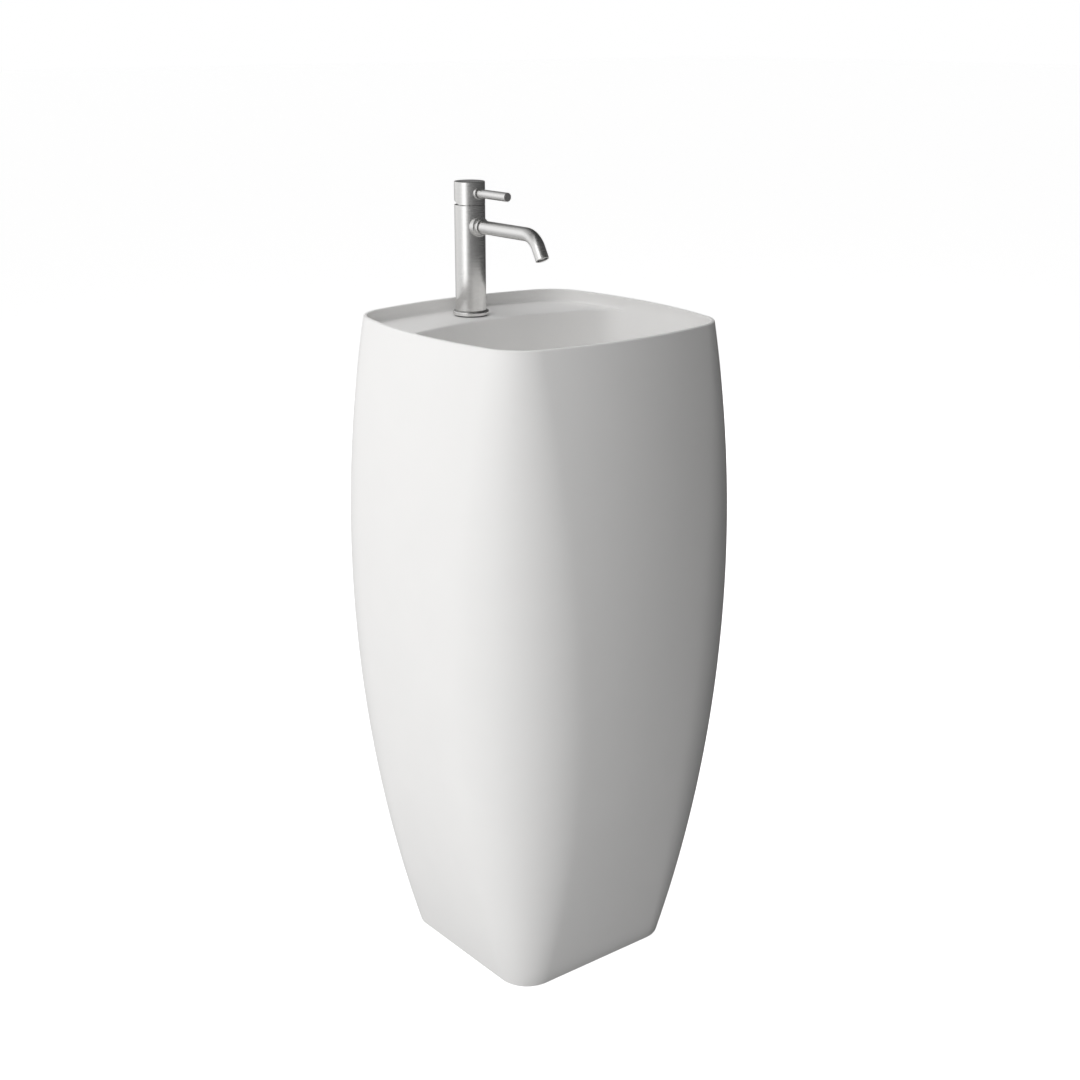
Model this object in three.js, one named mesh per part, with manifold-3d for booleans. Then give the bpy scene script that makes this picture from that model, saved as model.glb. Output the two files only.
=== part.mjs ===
// A pedestal sink: a hollow cast column with a bonded-in bowl, a single-lever
// tap on its rear deck, a push-button waste and a bottle trap that drains through the floor.
// Millimetres, +Z up, origin on the floor under the middle of the column. The tap stands at +Y,
// and the spout points to -Y, towards the person who washes.
import * as THREE from "three";
import { LoftGeometry } from "three/addons/geometries/LoftGeometry.js";
import { mergeVertices } from "three/addons/utils/BufferGeometryUtils.js";
import Module from "manifold-3d";

const wasm = await Module();
wasm.setup();

// ---- driving dimensions -------------------------------------------------------------------
// column
const HEIGHT = 900;
const BELLY_HALF_WIDTH = 225; // half the width at the widest level
const BELLY_LEVEL = 570;
const BELLY_RADIUS = 1875; // of the arc that each face follows from foot to rim
const FOOT_CORNER_RADIUS = 43;
const MID_CORNER_RADIUS = 133;
const RIM_CORNER_RADIUS = 62.5;
const RIM_SIDE_RADIUS = 575; // each side bows out in plan, from flat at the foot to this at the rim
const COLUMN_WALL = 12;
const SEAT_WALL = 7.6; // under the deck, where the bowl hangs
const RIM_WALL = 5.2;
const RIM_ROUNDING = 2;
const FOOT_ROUNDING = 2;

// deck and bowl
const DECK_DROP = 18; // from the rim down to the deck
const DECK_THICKNESS = 14;
const BOWL_WALL = 5.5;
const BOWL_LIP = 3.5; // from the rim's inner face to the bowl's edge
const BOWL_DEPTH = 122; // from the deck to the drain
const BOWL_DRAFT = THREE.MathUtils.degToRad(12);
const BOWL_FLOOR_FILLET = 36;
const BOWL_FLOOR_FALL = 8; // from the fillet's foot to the drain
const BOWL_TO_TAP = 42; // from the bowl's rear edge back to the tap's axis
const BOWL_BACK_RADIUS = 420;
const BOWL_BACK_CORNER = 45;
const DRAIN_Y = -44;
const DRAIN_BOSS_RADIUS = 35;
const DRAIN_BOSS_THICKNESS = 12;

// tap
const TAP_SETBACK = 45.66; // from the rim's inner face at the rear to the tap's axis
const TAP_RADIUS = 21;
const TAP_BODY_TOP = 150.4; // above the deck, as every tap level here
const LIFT_PIVOT = 151;
const CAP_GAP = 0.6; // between the body's top and the cap's skirt
const CAP_HEIGHT = 30.4; // from here on, the cap's levels are above the lift pivot
const CAP_ROUNDING = 1.6;
const CAP_CAVITY_RADIUS = 17.3;
const CAP_CAVITY_HEIGHT = 13.5;
const LIFT_RELIEF = THREE.MathUtils.degToRad(20);
const RELIEF_START = 4; // in front of the tap's axis, where the skirt starts to rise to the rear
const FLANGE_RADIUS = 25;
const FLANGE_HEIGHT = 5.6;
const GASKET_HEIGHT = 1;
const LEVER_RADIUS = 5.9;
const LEVER_LEVEL = 166.5;
const LEVER_REACH = 85; // from the tap's axis to the lever's tip
const LEVER_COLLAR_RADIUS = 8.2;
const LEVER_COLLAR_PROUD = 2.6;
const SPOUT_RADIUS = 9;
const SPOUT_WALL = 1.5;
const SPOUT_LEVEL = 122.4;
const SPOUT_STRAIGHT = 124; // from the tap's axis to where the bend starts
const SPOUT_BEND_RADIUS = 30;
const SPOUT_BEND = THREE.MathUtils.degToRad(60);
const SPOUT_TIP = 17;
const SPOUT_INSERTION = 7;
const COLLAR_STEPS = [
  { radius: 13.5, proud: 3.6 },
  { radius: 11, proud: 9.4 },
];
const AERATOR_RECESS = 1.6;
const AERATOR_LENGTH = 11;
const SHANK_RADIUS = 16.5;
const SHANK_WALL = 4;
const SHANK_BELOW_DECK = 36;
const SHANK_ENGAGEMENT = 9.4;
const DECK_HOLE_RADIUS = 17.5;
const TAIL_RADIUS = 4.9;
const TAIL_WALL = 1;
const TAIL_SPACING = 11.8;
const TAIL_BEHIND_AXIS = 2;
const TAIL_BELOW_DECK = 92;
const TAIL_INSERTION = 13;

// cartridge, upwards from the floor of its chamber in the tap's body
const CHAMBER_RADIUS = 15.2;
const CHAMBER_DEPTH = 18.9;
const DISC_THICKNESS = 2.5;
const DISC_RADIUS = 11.7;
const MOVING_DISC_RADIUS = 8.6;
const PORT_RADIUS = 2.4;
const SPINDLE_RADIUS = 2.6;
const SPINDLE_ARM = 8; // from the lift pivot down to the ball that pushes the slider
const PIVOT_PIN_RADIUS = 1.2;
const NUT_DOME_RADIUS = 16.6;

// waste and trap
const WASTE_RADIUS = 20.7;
const WASTE_WALL = 2.9;
const WASTE_LENGTH = 74;
const WASTE_FLANGE_RADIUS = 32;
const WASTE_FLANGE_HEIGHT = 2.5;
const PLUG_RADIUS = 31;
const PLUG_TRAVEL = 8;
const STEM_RADIUS = 3;
const TRAP_PIPE_RADIUS = 16;
const TRAP_PIPE_WALL = 1.5;
const TRAP_RADIUS = 30;
const TRAP_WALL = 3;
const TRAP_CUP_RADIUS = 34;
const TRAP_DROP = 30.5; // from the waste's end down to the trap's top
const TRAP_BODY_HEIGHT = 60;
const TRAP_CUP_DEPTH = 58;
const OUTLET_DROP = 24; // from the trap's top down to the middle of its outlet
const WATER_SEAL = 50;
const FLOOR_PIPE_SHARE = 0.3728; // of the room from the elbow's nearest place back to the wall
const FLOOR_COLLAR_RADIUS = 36;
const FLOOR_COLLAR_CLEARANCE = 1;
const FLOOR_PIPE_RADIUS = 20;
const FLOOR_PIPE_WALL = 2;
const FLOOR_PIPE_DROP = 51; // from the outlet's level down to the floor pipe's top
const OUTLET_BEND_RADIUS = 30;

// fits
const GAP = 0.3; // between pieces that touch or are bonded
const MOVING_GAP = 0.4;
const SEAL_THICKNESS = 1.4;

const DECK_LEVEL = HEIGHT - DECK_DROP;
const QUARTER = Math.PI / 2;
const SIDES = 16; // of a round piece, where its function names no other number

// ---- materials ----------------------------------------------------------------------------
const finish = (color, roughness, metalness) =>
  new THREE.MeshStandardMaterial({ color, roughness, metalness });
const casting = finish(0xf4f3f1, 0.45, 0);
const brushedSteel = finish(0xb9b7b3, 0.3, 1);
const plainSteel = finish(0x9c9c9c, 0.4, 1);
const polishedSteel = finish(0xd6d6d6, 0.12, 1);
const brass = finish(0xb58d45, 0.35, 1);
const rubber = finish(0x1c1c1c, 0.8, 0);
const ceramic = finish(0xe9e6dd, 0.2, 0);
const acetal = finish(0x2b2c2e, 0.5, 0);
const whitePlastic = finish(0xe8e8e6, 0.4, 0);

// ---- solids -------------------------------------------------------------------------------
// A closed geometry as a solid, with its faces turned outwards.
function solid(geometry) {
  const bare = geometry.index ? geometry.toNonIndexed() : geometry.clone();
  bare.deleteAttribute("normal");
  bare.deleteAttribute("uv");
  const merged = mergeVertices(bare, 1e-4);
  const vertProperties = merged.attributes.position.array;
  const triVerts = new Uint32Array(merged.index.array);
  const made = new wasm.Manifold(new wasm.Mesh({ numProp: 3, vertProperties, triVerts }));
  if (made.volume() > 0) return made;
  const turned = triVerts.reverse();
  return new wasm.Manifold(new wasm.Mesh({ numProp: 3, vertProperties, triVerts: turned }));
}

function geometryOf(body) {
  const mesh = body.getMesh();
  const geometry = new THREE.BufferGeometry();
  geometry.setAttribute("position", new THREE.BufferAttribute(mesh.vertProperties, 3));
  geometry.setIndex(new THREE.BufferAttribute(mesh.triVerts, 1));
  geometry.computeVertexNormals();
  return geometry;
}

const join = (...bodies) => bodies.reduce((all, body) => all.add(body));
const cut = (body, ...tools) => tools.reduce((rest, tool) => rest.subtract(tool), body);

// A turned solid about Z, from [radius, z] points that start and end on the axis or close.
function turned(profile, sides = SIDES) {
  const points = profile.map(([radius, z]) => new THREE.Vector2(radius, z));
  return solid(new THREE.LatheGeometry(points, sides).rotateX(QUARTER));
}

const disc = (radius, low, high, sides = SIDES) =>
  turned([[0, low], [radius, low], [radius, high], [0, high]], sides);

const sleeve = (inner, outer, low, high, sides = SIDES) =>
  turned([[inner, low], [outer, low], [outer, high], [inner, high], [inner, low]], sides);

// A nut whose inner step of radius lip closes over the piece that it draws up.
function unionNut(thread, outer, lip, open, seat, closed) {
  return turned([
    [thread, open], [outer, open], [outer, closed], [lip, closed],
    [lip, seat], [thread, seat], [thread, open],
  ]);
}

const box = (x, y, z, centre) => solid(new THREE.BoxGeometry(x, y, z).translate(...centre));

// Lays a solid built along +Z down along -Y (angle 0), tipped by angle towards the floor.
function laidForward(body, y, z, angle = 0) {
  const turn = [THREE.MathUtils.radToDeg(QUARTER + angle), 0, 0];
  return body.rotate(turn).translate([0, y, z]);
}

// Points of an arc with both its ends, or without its last point.
function arc(cx, cy, radius, from, to, steps, keepEnd = false) {
  const points = [];
  for (let i = 0; i < steps + (keepEnd ? 1 : 0); i += 1) {
    const angle = from + ((to - from) * i) / steps;
    points.push([cx + radius * Math.cos(angle), cy + radius * Math.sin(angle)]);
  }
  return points;
}

const at = (outline, z) => outline.map(([x, y]) => new THREE.Vector3(x, y, z));

// Skins rings of points, counterclockwise as seen from the last one. A looped skin returns to its
// first ring, and another gets end caps.
function skin(rings, looped = false) {
  if (looped) return solid(new LoftGeometry([...rings, rings[0]]));
  return solid(new LoftGeometry(rings, { capStart: true, capEnd: true }));
}

// ---- column and bowl ----------------------------------------------------------------------
const halfWidth = (z) =>
  BELLY_HALF_WIDTH - BELLY_RADIUS + Math.sqrt(BELLY_RADIUS ** 2 - (z - BELLY_LEVEL) ** 2);

// The corner radius passes through its three stated values at the foot, half way and the rim.
function cornerRadius(z) {
  const t = z / HEIGHT;
  const foot = FOOT_CORNER_RADIUS * 2 * (t - 0.5) * (t - 1);
  const mid = MID_CORNER_RADIUS * 4 * t * (1 - t);
  return foot + mid + RIM_CORNER_RADIUS * 2 * t * (t - 0.5);
}

const TAP_Y = halfWidth(DECK_LEVEL) - RIM_WALL - TAP_SETBACK;
const BOWL_BACK = TAP_Y - BOWL_TO_TAP;

const FLATTEST_SIDE_RADIUS = 1e5;
const sideRadius = (z) => 1 / Math.max(z / HEIGHT / RIM_SIDE_RADIUS, 1 / FLATTEST_SIDE_RADIUS);

// A square of half width w with sides of radius side, bowed out, and corners of radius corner.
function squareOutline(w, side, corner) {
  const q = side - w;
  const c = (-q + Math.sqrt(2 * (side - corner) ** 2 - q * q)) / 2;
  const meet = Math.atan2(c, c + q);
  const points = [];
  for (let turn = 0; turn < 4; turn += 1) {
    const quarter = [
      ...arc(-q, 0, side, 0, meet, 2),
      ...arc(c, c, corner, meet, QUARTER - meet, 5),
      ...arc(0, -q, side, QUARTER - meet, QUARTER, 2),
    ];
    const [cos, sin] = [Math.cos(turn * QUARTER), Math.sin(turn * QUARTER)];
    points.push(...quarter.map(([x, y]) => [x * cos - y * sin, x * sin + y * cos]));
  }
  return points;
}

const columnRing = (z, inset) =>
  at(squareOutline(halfWidth(z) - inset, sideRadius(z) - inset, cornerRadius(z) - inset), z);

const SEAT_LEVEL = DECK_LEVEL - DECK_THICKNESS;
const COLUMN_LEVELS = 13;

function columnShell() {
  const rings = [];
  const roundedEdge = (z, inset, radius, from, to) =>
    arc(inset, z, radius, from, to, 2, true).forEach(([depth, level]) =>
      rings.push(columnRing(level, depth)),
    );
  roundedEdge(FOOT_ROUNDING, FOOT_ROUNDING, FOOT_ROUNDING, -QUARTER, -Math.PI);
  for (let i = 1; i < COLUMN_LEVELS; i += 1) rings.push(columnRing((HEIGHT * i) / COLUMN_LEVELS, 0));
  const rimTop = HEIGHT - RIM_ROUNDING;
  roundedEdge(rimTop, RIM_ROUNDING, RIM_ROUNDING, Math.PI, QUARTER);
  roundedEdge(rimTop, RIM_WALL - RIM_ROUNDING, RIM_ROUNDING, QUARTER, 0);
  rings.push(columnRing(SEAT_LEVEL - GAP, RIM_WALL), columnRing(SEAT_LEVEL - GAP, SEAT_WALL));
  const wallLevels = 5;
  for (let i = 0; i <= wallLevels; i += 1) {
    const z = (SEAT_LEVEL - 130) * (1 - i / wallLevels);
    rings.push(columnRing(z, COLUMN_WALL));
  }
  return skin(rings, true);
}

// The bowl's outline at one level: the column's section, closed at the rear by a shallow arc.
function bowlOutline(inset) {
  const z = DECK_LEVEL;
  const w = halfWidth(z) - RIM_WALL - BOWL_LIP - inset;
  const side = sideRadius(z) - inset;
  const corner = cornerRadius(z) - RIM_WALL - BOWL_LIP + Math.max(-inset, 0);
  const q = side - w;
  const c = (-q + Math.sqrt(2 * (side - corner) ** 2 - q * q)) / 2;
  const meet = Math.atan2(c, c + q);
  const back = BOWL_BACK - inset;
  const backSide = side - BOWL_BACK_CORNER;
  const backArc = BOWL_BACK_RADIUS - BOWL_BACK_CORNER;
  // centre of the rear corner: as far from the side's centre as from the rear arc's
  const [sx, by] = [-q, back - BOWL_BACK_RADIUS];
  const span = Math.hypot(sx, by);
  const along = (backSide ** 2 - backArc ** 2 + span ** 2) / (2 * span);
  const off = Math.sqrt(backSide ** 2 - along ** 2);
  const [ux, uy] = [-sx / span, by / span];
  const fx = sx + ux * along - uy * off;
  const fy = uy * along + ux * off;
  const sideMeet = Math.atan2(fy, fx - sx);
  const backMeet = Math.atan2(fy - by, fx);
  const right = [
    ...arc(0, q, side, -QUARTER, meet - QUARTER, 2),
    ...arc(c, -c, corner, meet - QUARTER, -meet, 5),
    ...arc(-q, 0, side, -meet, sideMeet, 3),
    ...arc(fx, fy, BOWL_BACK_CORNER, sideMeet, backMeet, 4),
    ...arc(0, by, BOWL_BACK_RADIUS, backMeet, QUARTER, 3, true),
  ];
  const left = right.slice(1, -1).map(([x, y]) => [-x, y]);
  return [...right, ...left.reverse()];
}

// Rings up from a circle about the drain, out over the floor, round its fillet and up the wall.
function bowlRings(offset, top, drainRadius) {
  const floor = DECK_LEVEL - BOWL_DEPTH + BOWL_FLOOR_FALL;
  const fillet = BOWL_FLOOR_FILLET + offset;
  const filletTop = floor + BOWL_FLOOR_FILLET;
  const wallInset = (z) => (DECK_LEVEL - z) * Math.tan(BOWL_DRAFT) - offset;
  const rings = [at(bowlOutline(wallInset(top)), top)];
  const start = wallInset(filletTop);
  arc(start + fillet, filletTop, fillet, Math.PI, Math.PI + QUARTER, 3, true).forEach(
    ([inset, z]) => rings.push(at(bowlOutline(inset), z)),
  );
  const last = rings[rings.length - 1];
  const drain = last.map((point) => {
    const angle = Math.atan2(point.y - DRAIN_Y, point.x);
    const x = drainRadius * Math.cos(angle);
    return new THREE.Vector3(x, DRAIN_Y + drainRadius * Math.sin(angle), point.z - BOWL_FLOOR_FALL);
  });
  return [...rings, drain].reverse();
}

function basinBowl() {
  const slab = skin([
    columnRing(SEAT_LEVEL, RIM_WALL + GAP),
    columnRing(DECK_LEVEL, RIM_WALL + GAP),
  ]);
  const outside = skin(bowlRings(BOWL_WALL, SEAT_LEVEL + 1, DRAIN_BOSS_RADIUS));
  const inside = skin(bowlRings(0, DECK_LEVEL + 1, DRAIN_BOSS_RADIUS));
  const drainTop = DECK_LEVEL - BOWL_DEPTH;
  const boss = disc(DRAIN_BOSS_RADIUS, drainTop - DRAIN_BOSS_THICKNESS, drainTop);
  const hole = disc(WASTE_RADIUS + GAP, drainTop - BOWL_DEPTH, drainTop + 1);
  const tapHole = disc(DECK_HOLE_RADIUS, SEAT_LEVEL - 1, DECK_LEVEL + 1);
  const body = join(slab, outside, boss.translate([0, DRAIN_Y, 0]));
  return cut(body, inside, hole.translate([0, DRAIN_Y, 0]), tapHole.translate([0, TAP_Y, 0]));
}

// ---- tap, about its own axis; z is the height above the floor ------------------------------
const up = (height) => DECK_LEVEL + height;
const FLANGE_BASE = up(GASKET_HEIGHT + 2 * GAP);
const BODY_BASE = FLANGE_BASE + FLANGE_HEIGHT + GAP;
const BODY_TOP = up(TAP_BODY_TOP);
const CHAMBER_FLOOR = BODY_TOP - CHAMBER_DEPTH;
const PIVOT = up(LIFT_PIVOT);
const SKIRT = BODY_TOP + CAP_GAP;
const CAP_TOP = PIVOT + CAP_HEIGHT;
const CAVITY_TOP = PIVOT + CAP_CAVITY_HEIGHT;
const SHANK_TOP = BODY_BASE + SHANK_ENGAGEMENT;
const SPOUT_Z = up(SPOUT_LEVEL);
const LEVER_Z = up(LEVER_LEVEL);
const TAIL_TOP = SHANK_TOP + TAIL_INSERTION;
const tapCore = (clearance, low, high) => disc(TAP_RADIUS + clearance, low, high, 32);

function baseFlange() {
  const [low, high, r] = [FLANGE_BASE, FLANGE_BASE + FLANGE_HEIGHT, FLANGE_RADIUS];
  const edge = 2.6;
  const bore = SHANK_RADIUS + GAP;
  return turned([
    [bore, low], [r - 0.6, low], [r, low + 0.6],
    ...arc(r - edge, high - edge, edge, 0, QUARTER, 3, true), [bore, high], [bore, low],
  ], 32);
}

function tapBody() {
  const chamfer = 0.8;
  const outside = turned([
    [0, BODY_BASE], [TAP_RADIUS, BODY_BASE], [TAP_RADIUS, BODY_TOP - chamfer],
    [TAP_RADIUS - chamfer, BODY_TOP], [0, BODY_TOP],
  ], 32);
  const shankSocket = disc(SHANK_RADIUS + GAP, BODY_BASE - 1, SHANK_TOP + GAP);
  const chamber = disc(CHAMBER_RADIUS, CHAMBER_FLOOR, BODY_TOP + 1, 32);
  const socketEnd = TAP_RADIUS - SPOUT_INSERTION - GAP;
  const spoutSocket = disc(SPOUT_RADIUS + GAP, socketEnd, TAP_RADIUS + 1);
  const outletReach = 6;
  const outletRadius = 5;
  const across = disc(outletRadius, outletReach, TAP_RADIUS, 12);
  const rise = disc(PORT_RADIUS, SPOUT_Z, CHAMBER_FLOOR + 1, 10).translate([0, -outletReach - 2, 0]);
  const inlets = [-1, 1].flatMap((side) => {
    const place = [(side * TAIL_SPACING) / 2, TAIL_BEHIND_AXIS, 0];
    const socket = disc(TAIL_RADIUS + GAP, SHANK_TOP - 1, TAIL_TOP + GAP, 16);
    const channel = disc(PORT_RADIUS, TAIL_TOP - 1, CHAMBER_FLOOR + 1, 10);
    return [socket.translate(place), channel.translate(place)];
  });
  const forward = [spoutSocket, across].map((tool) => laidForward(tool, 0, SPOUT_Z));
  return cut(outside, shankSocket, chamber, rise, ...forward, ...inlets);
}

// Stations along the spout: the middle of its section and the angle that it points down by.
function spoutPath() {
  const bendSteps = 8;
  const start = -(TAP_RADIUS - SPOUT_INSERTION);
  const stations = [{ y: start, z: SPOUT_Z, down: 0 }];
  for (let i = 0; i <= bendSteps; i += 1) {
    const down = (SPOUT_BEND * i) / bendSteps;
    const y = -SPOUT_STRAIGHT - SPOUT_BEND_RADIUS * Math.sin(down);
    const z = SPOUT_Z - SPOUT_BEND_RADIUS * (1 - Math.cos(down));
    stations.push({ y, z, down });
  }
  const bendEnd = stations[stations.length - 1];
  const y = bendEnd.y - SPOUT_TIP * Math.cos(SPOUT_BEND);
  const z = bendEnd.z - SPOUT_TIP * Math.sin(SPOUT_BEND);
  return [...stations, { y, z, down: SPOUT_BEND }];
}

// A pipe through stations in a plane of constant x, as rings outside and back inside.
function bentPipe(stations, radius, wall, sides = SIDES) {
  const ring = ({ y, z, down }, r) => {
    const points = [];
    for (let i = 0; i < sides; i += 1) {
      const angle = (2 * Math.PI * i) / sides;
      const lift = r * Math.cos(angle);
      const point = [r * Math.sin(angle), y - lift * Math.sin(down), z + lift * Math.cos(down)];
      points.push(new THREE.Vector3(...point));
    }
    return points;
  };
  const outside = stations.map((station) => ring(station, radius));
  const inside = stations.map((station) => ring(station, radius - wall));
  return skin([...outside, ...inside.reverse()], true);
}

function spoutCollar() {
  const [wide, narrow] = COLLAR_STEPS;
  const edge = 0.8;
  const bore = SPOUT_RADIUS + GAP;
  const root = TAP_RADIUS - 6;
  const step = (r, reach) => [[r, reach - edge], [r - edge, reach]];
  const ring = turned([
    [bore, root], [wide.radius, root], ...step(wide.radius, TAP_RADIUS + wide.proud),
    [narrow.radius, TAP_RADIUS + wide.proud],
    ...step(narrow.radius, TAP_RADIUS + narrow.proud),
    [bore, TAP_RADIUS + narrow.proud], [bore, root],
  ], 28);
  const seat = tapCore(GAP, SPOUT_Z - 2 * wide.radius, SPOUT_Z + 2 * wide.radius);
  return cut(laidForward(ring, 0, SPOUT_Z), seat);
}

// The aerator's parts are built from the spout's mouth (z = 0) back into the tube (z < 0).
function atSpoutMouth(body) {
  const { y, z } = spoutPath().pop();
  return laidForward(body, y, z, SPOUT_BEND);
}

const TUBE_BORE = SPOUT_RADIUS - SPOUT_WALL;

function aeratorHousing() {
  const front = -AERATOR_RECESS;
  return atSpoutMouth(sleeve(TUBE_BORE - 1.5, TUBE_BORE - GAP, front - AERATOR_LENGTH, front, 20));
}

function aeratorInsert() {
  const front = -AERATOR_RECESS - 0.6;
  const radius = TUBE_BORE - 1.5 - GAP;
  const plate = disc(radius, front - 2, front, 20);
  const core = disc(radius - 1.6, front - AERATOR_LENGTH + 2, front - 1, 12);
  const jets = [0, 1, 2, 3, 4, 5].map((i) => {
    const angle = (i * Math.PI) / 3;
    const jet = disc(0.5, front - AERATOR_LENGTH, front + 1, 6);
    return jet.translate([2.6 * Math.cos(angle), 2.6 * Math.sin(angle), 0]);
  });
  return atSpoutMouth(cut(join(plate, core), ...jets));
}

function handleCap() {
  const r = TAP_RADIUS;
  const edge = CAP_ROUNDING;
  const outside = turned([
    [0, SKIRT], [r - 0.4, SKIRT], [r, SKIRT + 0.4],
    ...arc(r - edge, CAP_TOP - edge, edge, 0, QUARTER, 3, true), [0, CAP_TOP],
  ], 32);
  const cavity = disc(CAP_CAVITY_RADIUS, SKIRT - 1, CAVITY_TOP, 32);
  const reach = 2 * TAP_RADIUS;
  const relief = box(2 * reach, reach, reach, [0, reach / 2, -reach / 2])
    .rotate([THREE.MathUtils.radToDeg(LIFT_RELIEF), 0, 0])
    .translate([0, -RELIEF_START, SKIRT]);
  const socket = disc(SPINDLE_RADIUS + GAP, CAVITY_TOP - 1, SPINDLE_TOP + GAP, 12);
  const leverHole = laidForward(disc(LEVER_RADIUS + GAP, LEVER_ROOT - GAP, reach, 20), 0, LEVER_Z);
  const screwHole = laidForward(disc(SCREW_RADIUS + GAP, -reach, 0, 12), 0, SCREW_Z);
  return cut(outside, cavity, relief, socket, leverHole, screwHole);
}

const LEVER_ROOT = CAP_CAVITY_RADIUS - 2;
const SPINDLE_TOP = CAVITY_TOP + 10.5;
const SCREW_RADIUS = 2;
const SCREW_Z = CAVITY_TOP + 6;
const SCREW_LENGTH = 12;

function leverRod() {
  const edge = 0.4;
  const r = LEVER_RADIUS;
  const rod = turned([
    [0, LEVER_ROOT], [r, LEVER_ROOT], [r, LEVER_REACH - edge], [r - edge, LEVER_REACH],
    [0, LEVER_REACH],
  ], 28);
  return laidForward(rod, 0, LEVER_Z);
}

function leverCollar() {
  const [bore, r] = [LEVER_RADIUS + GAP, LEVER_COLLAR_RADIUS];
  const face = TAP_RADIUS + LEVER_COLLAR_PROUD;
  const root = TAP_RADIUS - 3;
  const edge = 0.8;
  const ring = turned([
    [bore, root], [r, root], [r, face - edge], [r - edge, face], [bore, face], [bore, root],
  ], 28);
  return cut(laidForward(ring, 0, LEVER_Z), tapCore(GAP, LEVER_Z - 2 * r, LEVER_Z + 2 * r));
}

function grubScrew() {
  const near = -(SPINDLE_RADIUS + GAP + SCREW_LENGTH);
  const screw = disc(SCREW_RADIUS, near, near + SCREW_LENGTH, 12);
  const key = disc(1, near - 1, near + 2, 6);
  return laidForward(cut(screw, key), 0, SCREW_Z);
}

// Levels up the cartridge.
const SEAL_BASE = CHAMBER_FLOOR + GAP;
const HOUSING_BASE = SEAL_BASE + SEAL_THICKNESS + GAP;
const FIXED_DISC_BASE = HOUSING_BASE + GAP;
const MOVING_DISC_BASE = FIXED_DISC_BASE + DISC_THICKNESS + GAP;
const SLIDER_BASE = MOVING_DISC_BASE + DISC_THICKNESS + GAP;
const BALL_Z = PIVOT - SPINDLE_ARM;
const SLIDER_TOP = BALL_Z + 1.5;
const HOLDER_BASE = SLIDER_TOP + 0.7;
const HOLDER_TOP = PIVOT + 3.2;
const HOUSING_INNER = DISC_RADIUS + GAP;
const HOUSING_UPPER = HOUSING_INNER + 1;
const HOUSING_LOWER = CHAMBER_RADIUS - GAP - 0.5;
const SHOULDER = HOUSING_BASE + 8.5;

const portsOf = (low, high) =>
  [[-TAIL_SPACING / 2, TAIL_BEHIND_AXIS], [TAIL_SPACING / 2, TAIL_BEHIND_AXIS], [0, -8]].map(
    ([x, y]) => disc(PORT_RADIUS, low, high, 10).translate([x, y, 0]),
  );

function cartridgeSeal() {
  const [low, high] = [SEAL_BASE, SEAL_BASE + SEAL_THICKNESS];
  return cut(disc(HOUSING_LOWER, low, high), ...portsOf(low - 1, high + 1));
}

function fixedDisc() {
  const [low, high] = [FIXED_DISC_BASE, FIXED_DISC_BASE + DISC_THICKNESS];
  return cut(disc(DISC_RADIUS, low, high), ...portsOf(low - 1, high + 1));
}

function movingDisc() {
  const [low, high] = [MOVING_DISC_BASE, MOVING_DISC_BASE + DISC_THICKNESS];
  const mixingHollow = disc(5, low - 1, low + 1.2, 16);
  return cut(disc(MOVING_DISC_RADIUS, low, high), mixingHollow);
}

function discSlider() {
  const socket = disc(SPINDLE_RADIUS + MOVING_GAP, BALL_Z - SPINDLE_RADIUS - 0.5, SLIDER_TOP + 1, 20);
  return cut(disc(MOVING_DISC_RADIUS - 0.6, SLIDER_BASE, SLIDER_TOP), socket);
}

function spindleHolder() {
  const ring = disc(HOUSING_INNER - MOVING_GAP, HOLDER_BASE, HOLDER_TOP);
  const middle = (HOLDER_BASE + HOLDER_TOP) / 2;
  const slot = box(2 * (SPINDLE_RADIUS + MOVING_GAP), 13, 30, [0, 0, middle]);
  const pinHole = disc(PIVOT_PIN_RADIUS + GAP, -DISC_RADIUS - 1, DISC_RADIUS + 1, 12);
  return cut(ring, slot, pinHole.rotate([0, 90, 0]).translate([0, 0, PIVOT]));
}

const pivotPin = () =>
  disc(PIVOT_PIN_RADIUS, -DISC_RADIUS + 1, DISC_RADIUS - 1, 12)
    .rotate([0, 90, 0])
    .translate([0, 0, PIVOT]);

function cartridgeSpindle() {
  const ball = arc(0, BALL_Z, SPINDLE_RADIUS, -QUARTER, QUARTER / 1.5, 5, true);
  const neck = 1.6;
  const shaft = turned([
    ...ball.map(([radius, z]) => [Math.max(radius, 0), z]), [neck, BALL_Z + 2.4],
    [SPINDLE_RADIUS, BALL_Z + 4], [SPINDLE_RADIUS, SPINDLE_TOP], [0, SPINDLE_TOP],
  ], 16);
  const pinHole = disc(PIVOT_PIN_RADIUS + MOVING_GAP, -SPINDLE_RADIUS - 1, SPINDLE_RADIUS + 1, 12);
  return cut(shaft, pinHole.rotate([0, 90, 0]).translate([0, 0, PIVOT]));
}

function cartridgeHousing() {
  const roof = HOLDER_TOP + MOVING_GAP;
  const lid = roof + 1.6;
  const opening = SPINDLE_RADIUS + 3.4;
  return turned([
    [HOUSING_INNER, HOUSING_BASE], [HOUSING_LOWER, HOUSING_BASE], [HOUSING_LOWER, SHOULDER],
    [HOUSING_UPPER, SHOULDER], [HOUSING_UPPER, lid], [opening, lid], [opening, roof],
    [HOUSING_INNER, roof], [HOUSING_INNER, HOUSING_BASE],
  ]);
}

function cartridgeNut() {
  const bore = HOUSING_UPPER + GAP;
  const thread = CHAMBER_RADIUS - GAP;
  const shelf = BODY_TOP + GAP;
  const domeTop = PIVOT + 6.5;
  const angle = (z) => Math.asin((z - PIVOT) / NUT_DOME_RADIUS);
  return turned([
    [bore, SHOULDER + GAP], [thread, SHOULDER + GAP], [thread, shelf],
    ...arc(0, PIVOT, NUT_DOME_RADIUS, angle(shelf), angle(domeTop), 5, true),
    [bore, domeTop], [bore, SHOULDER + GAP],
  ], 32);
}

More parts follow.
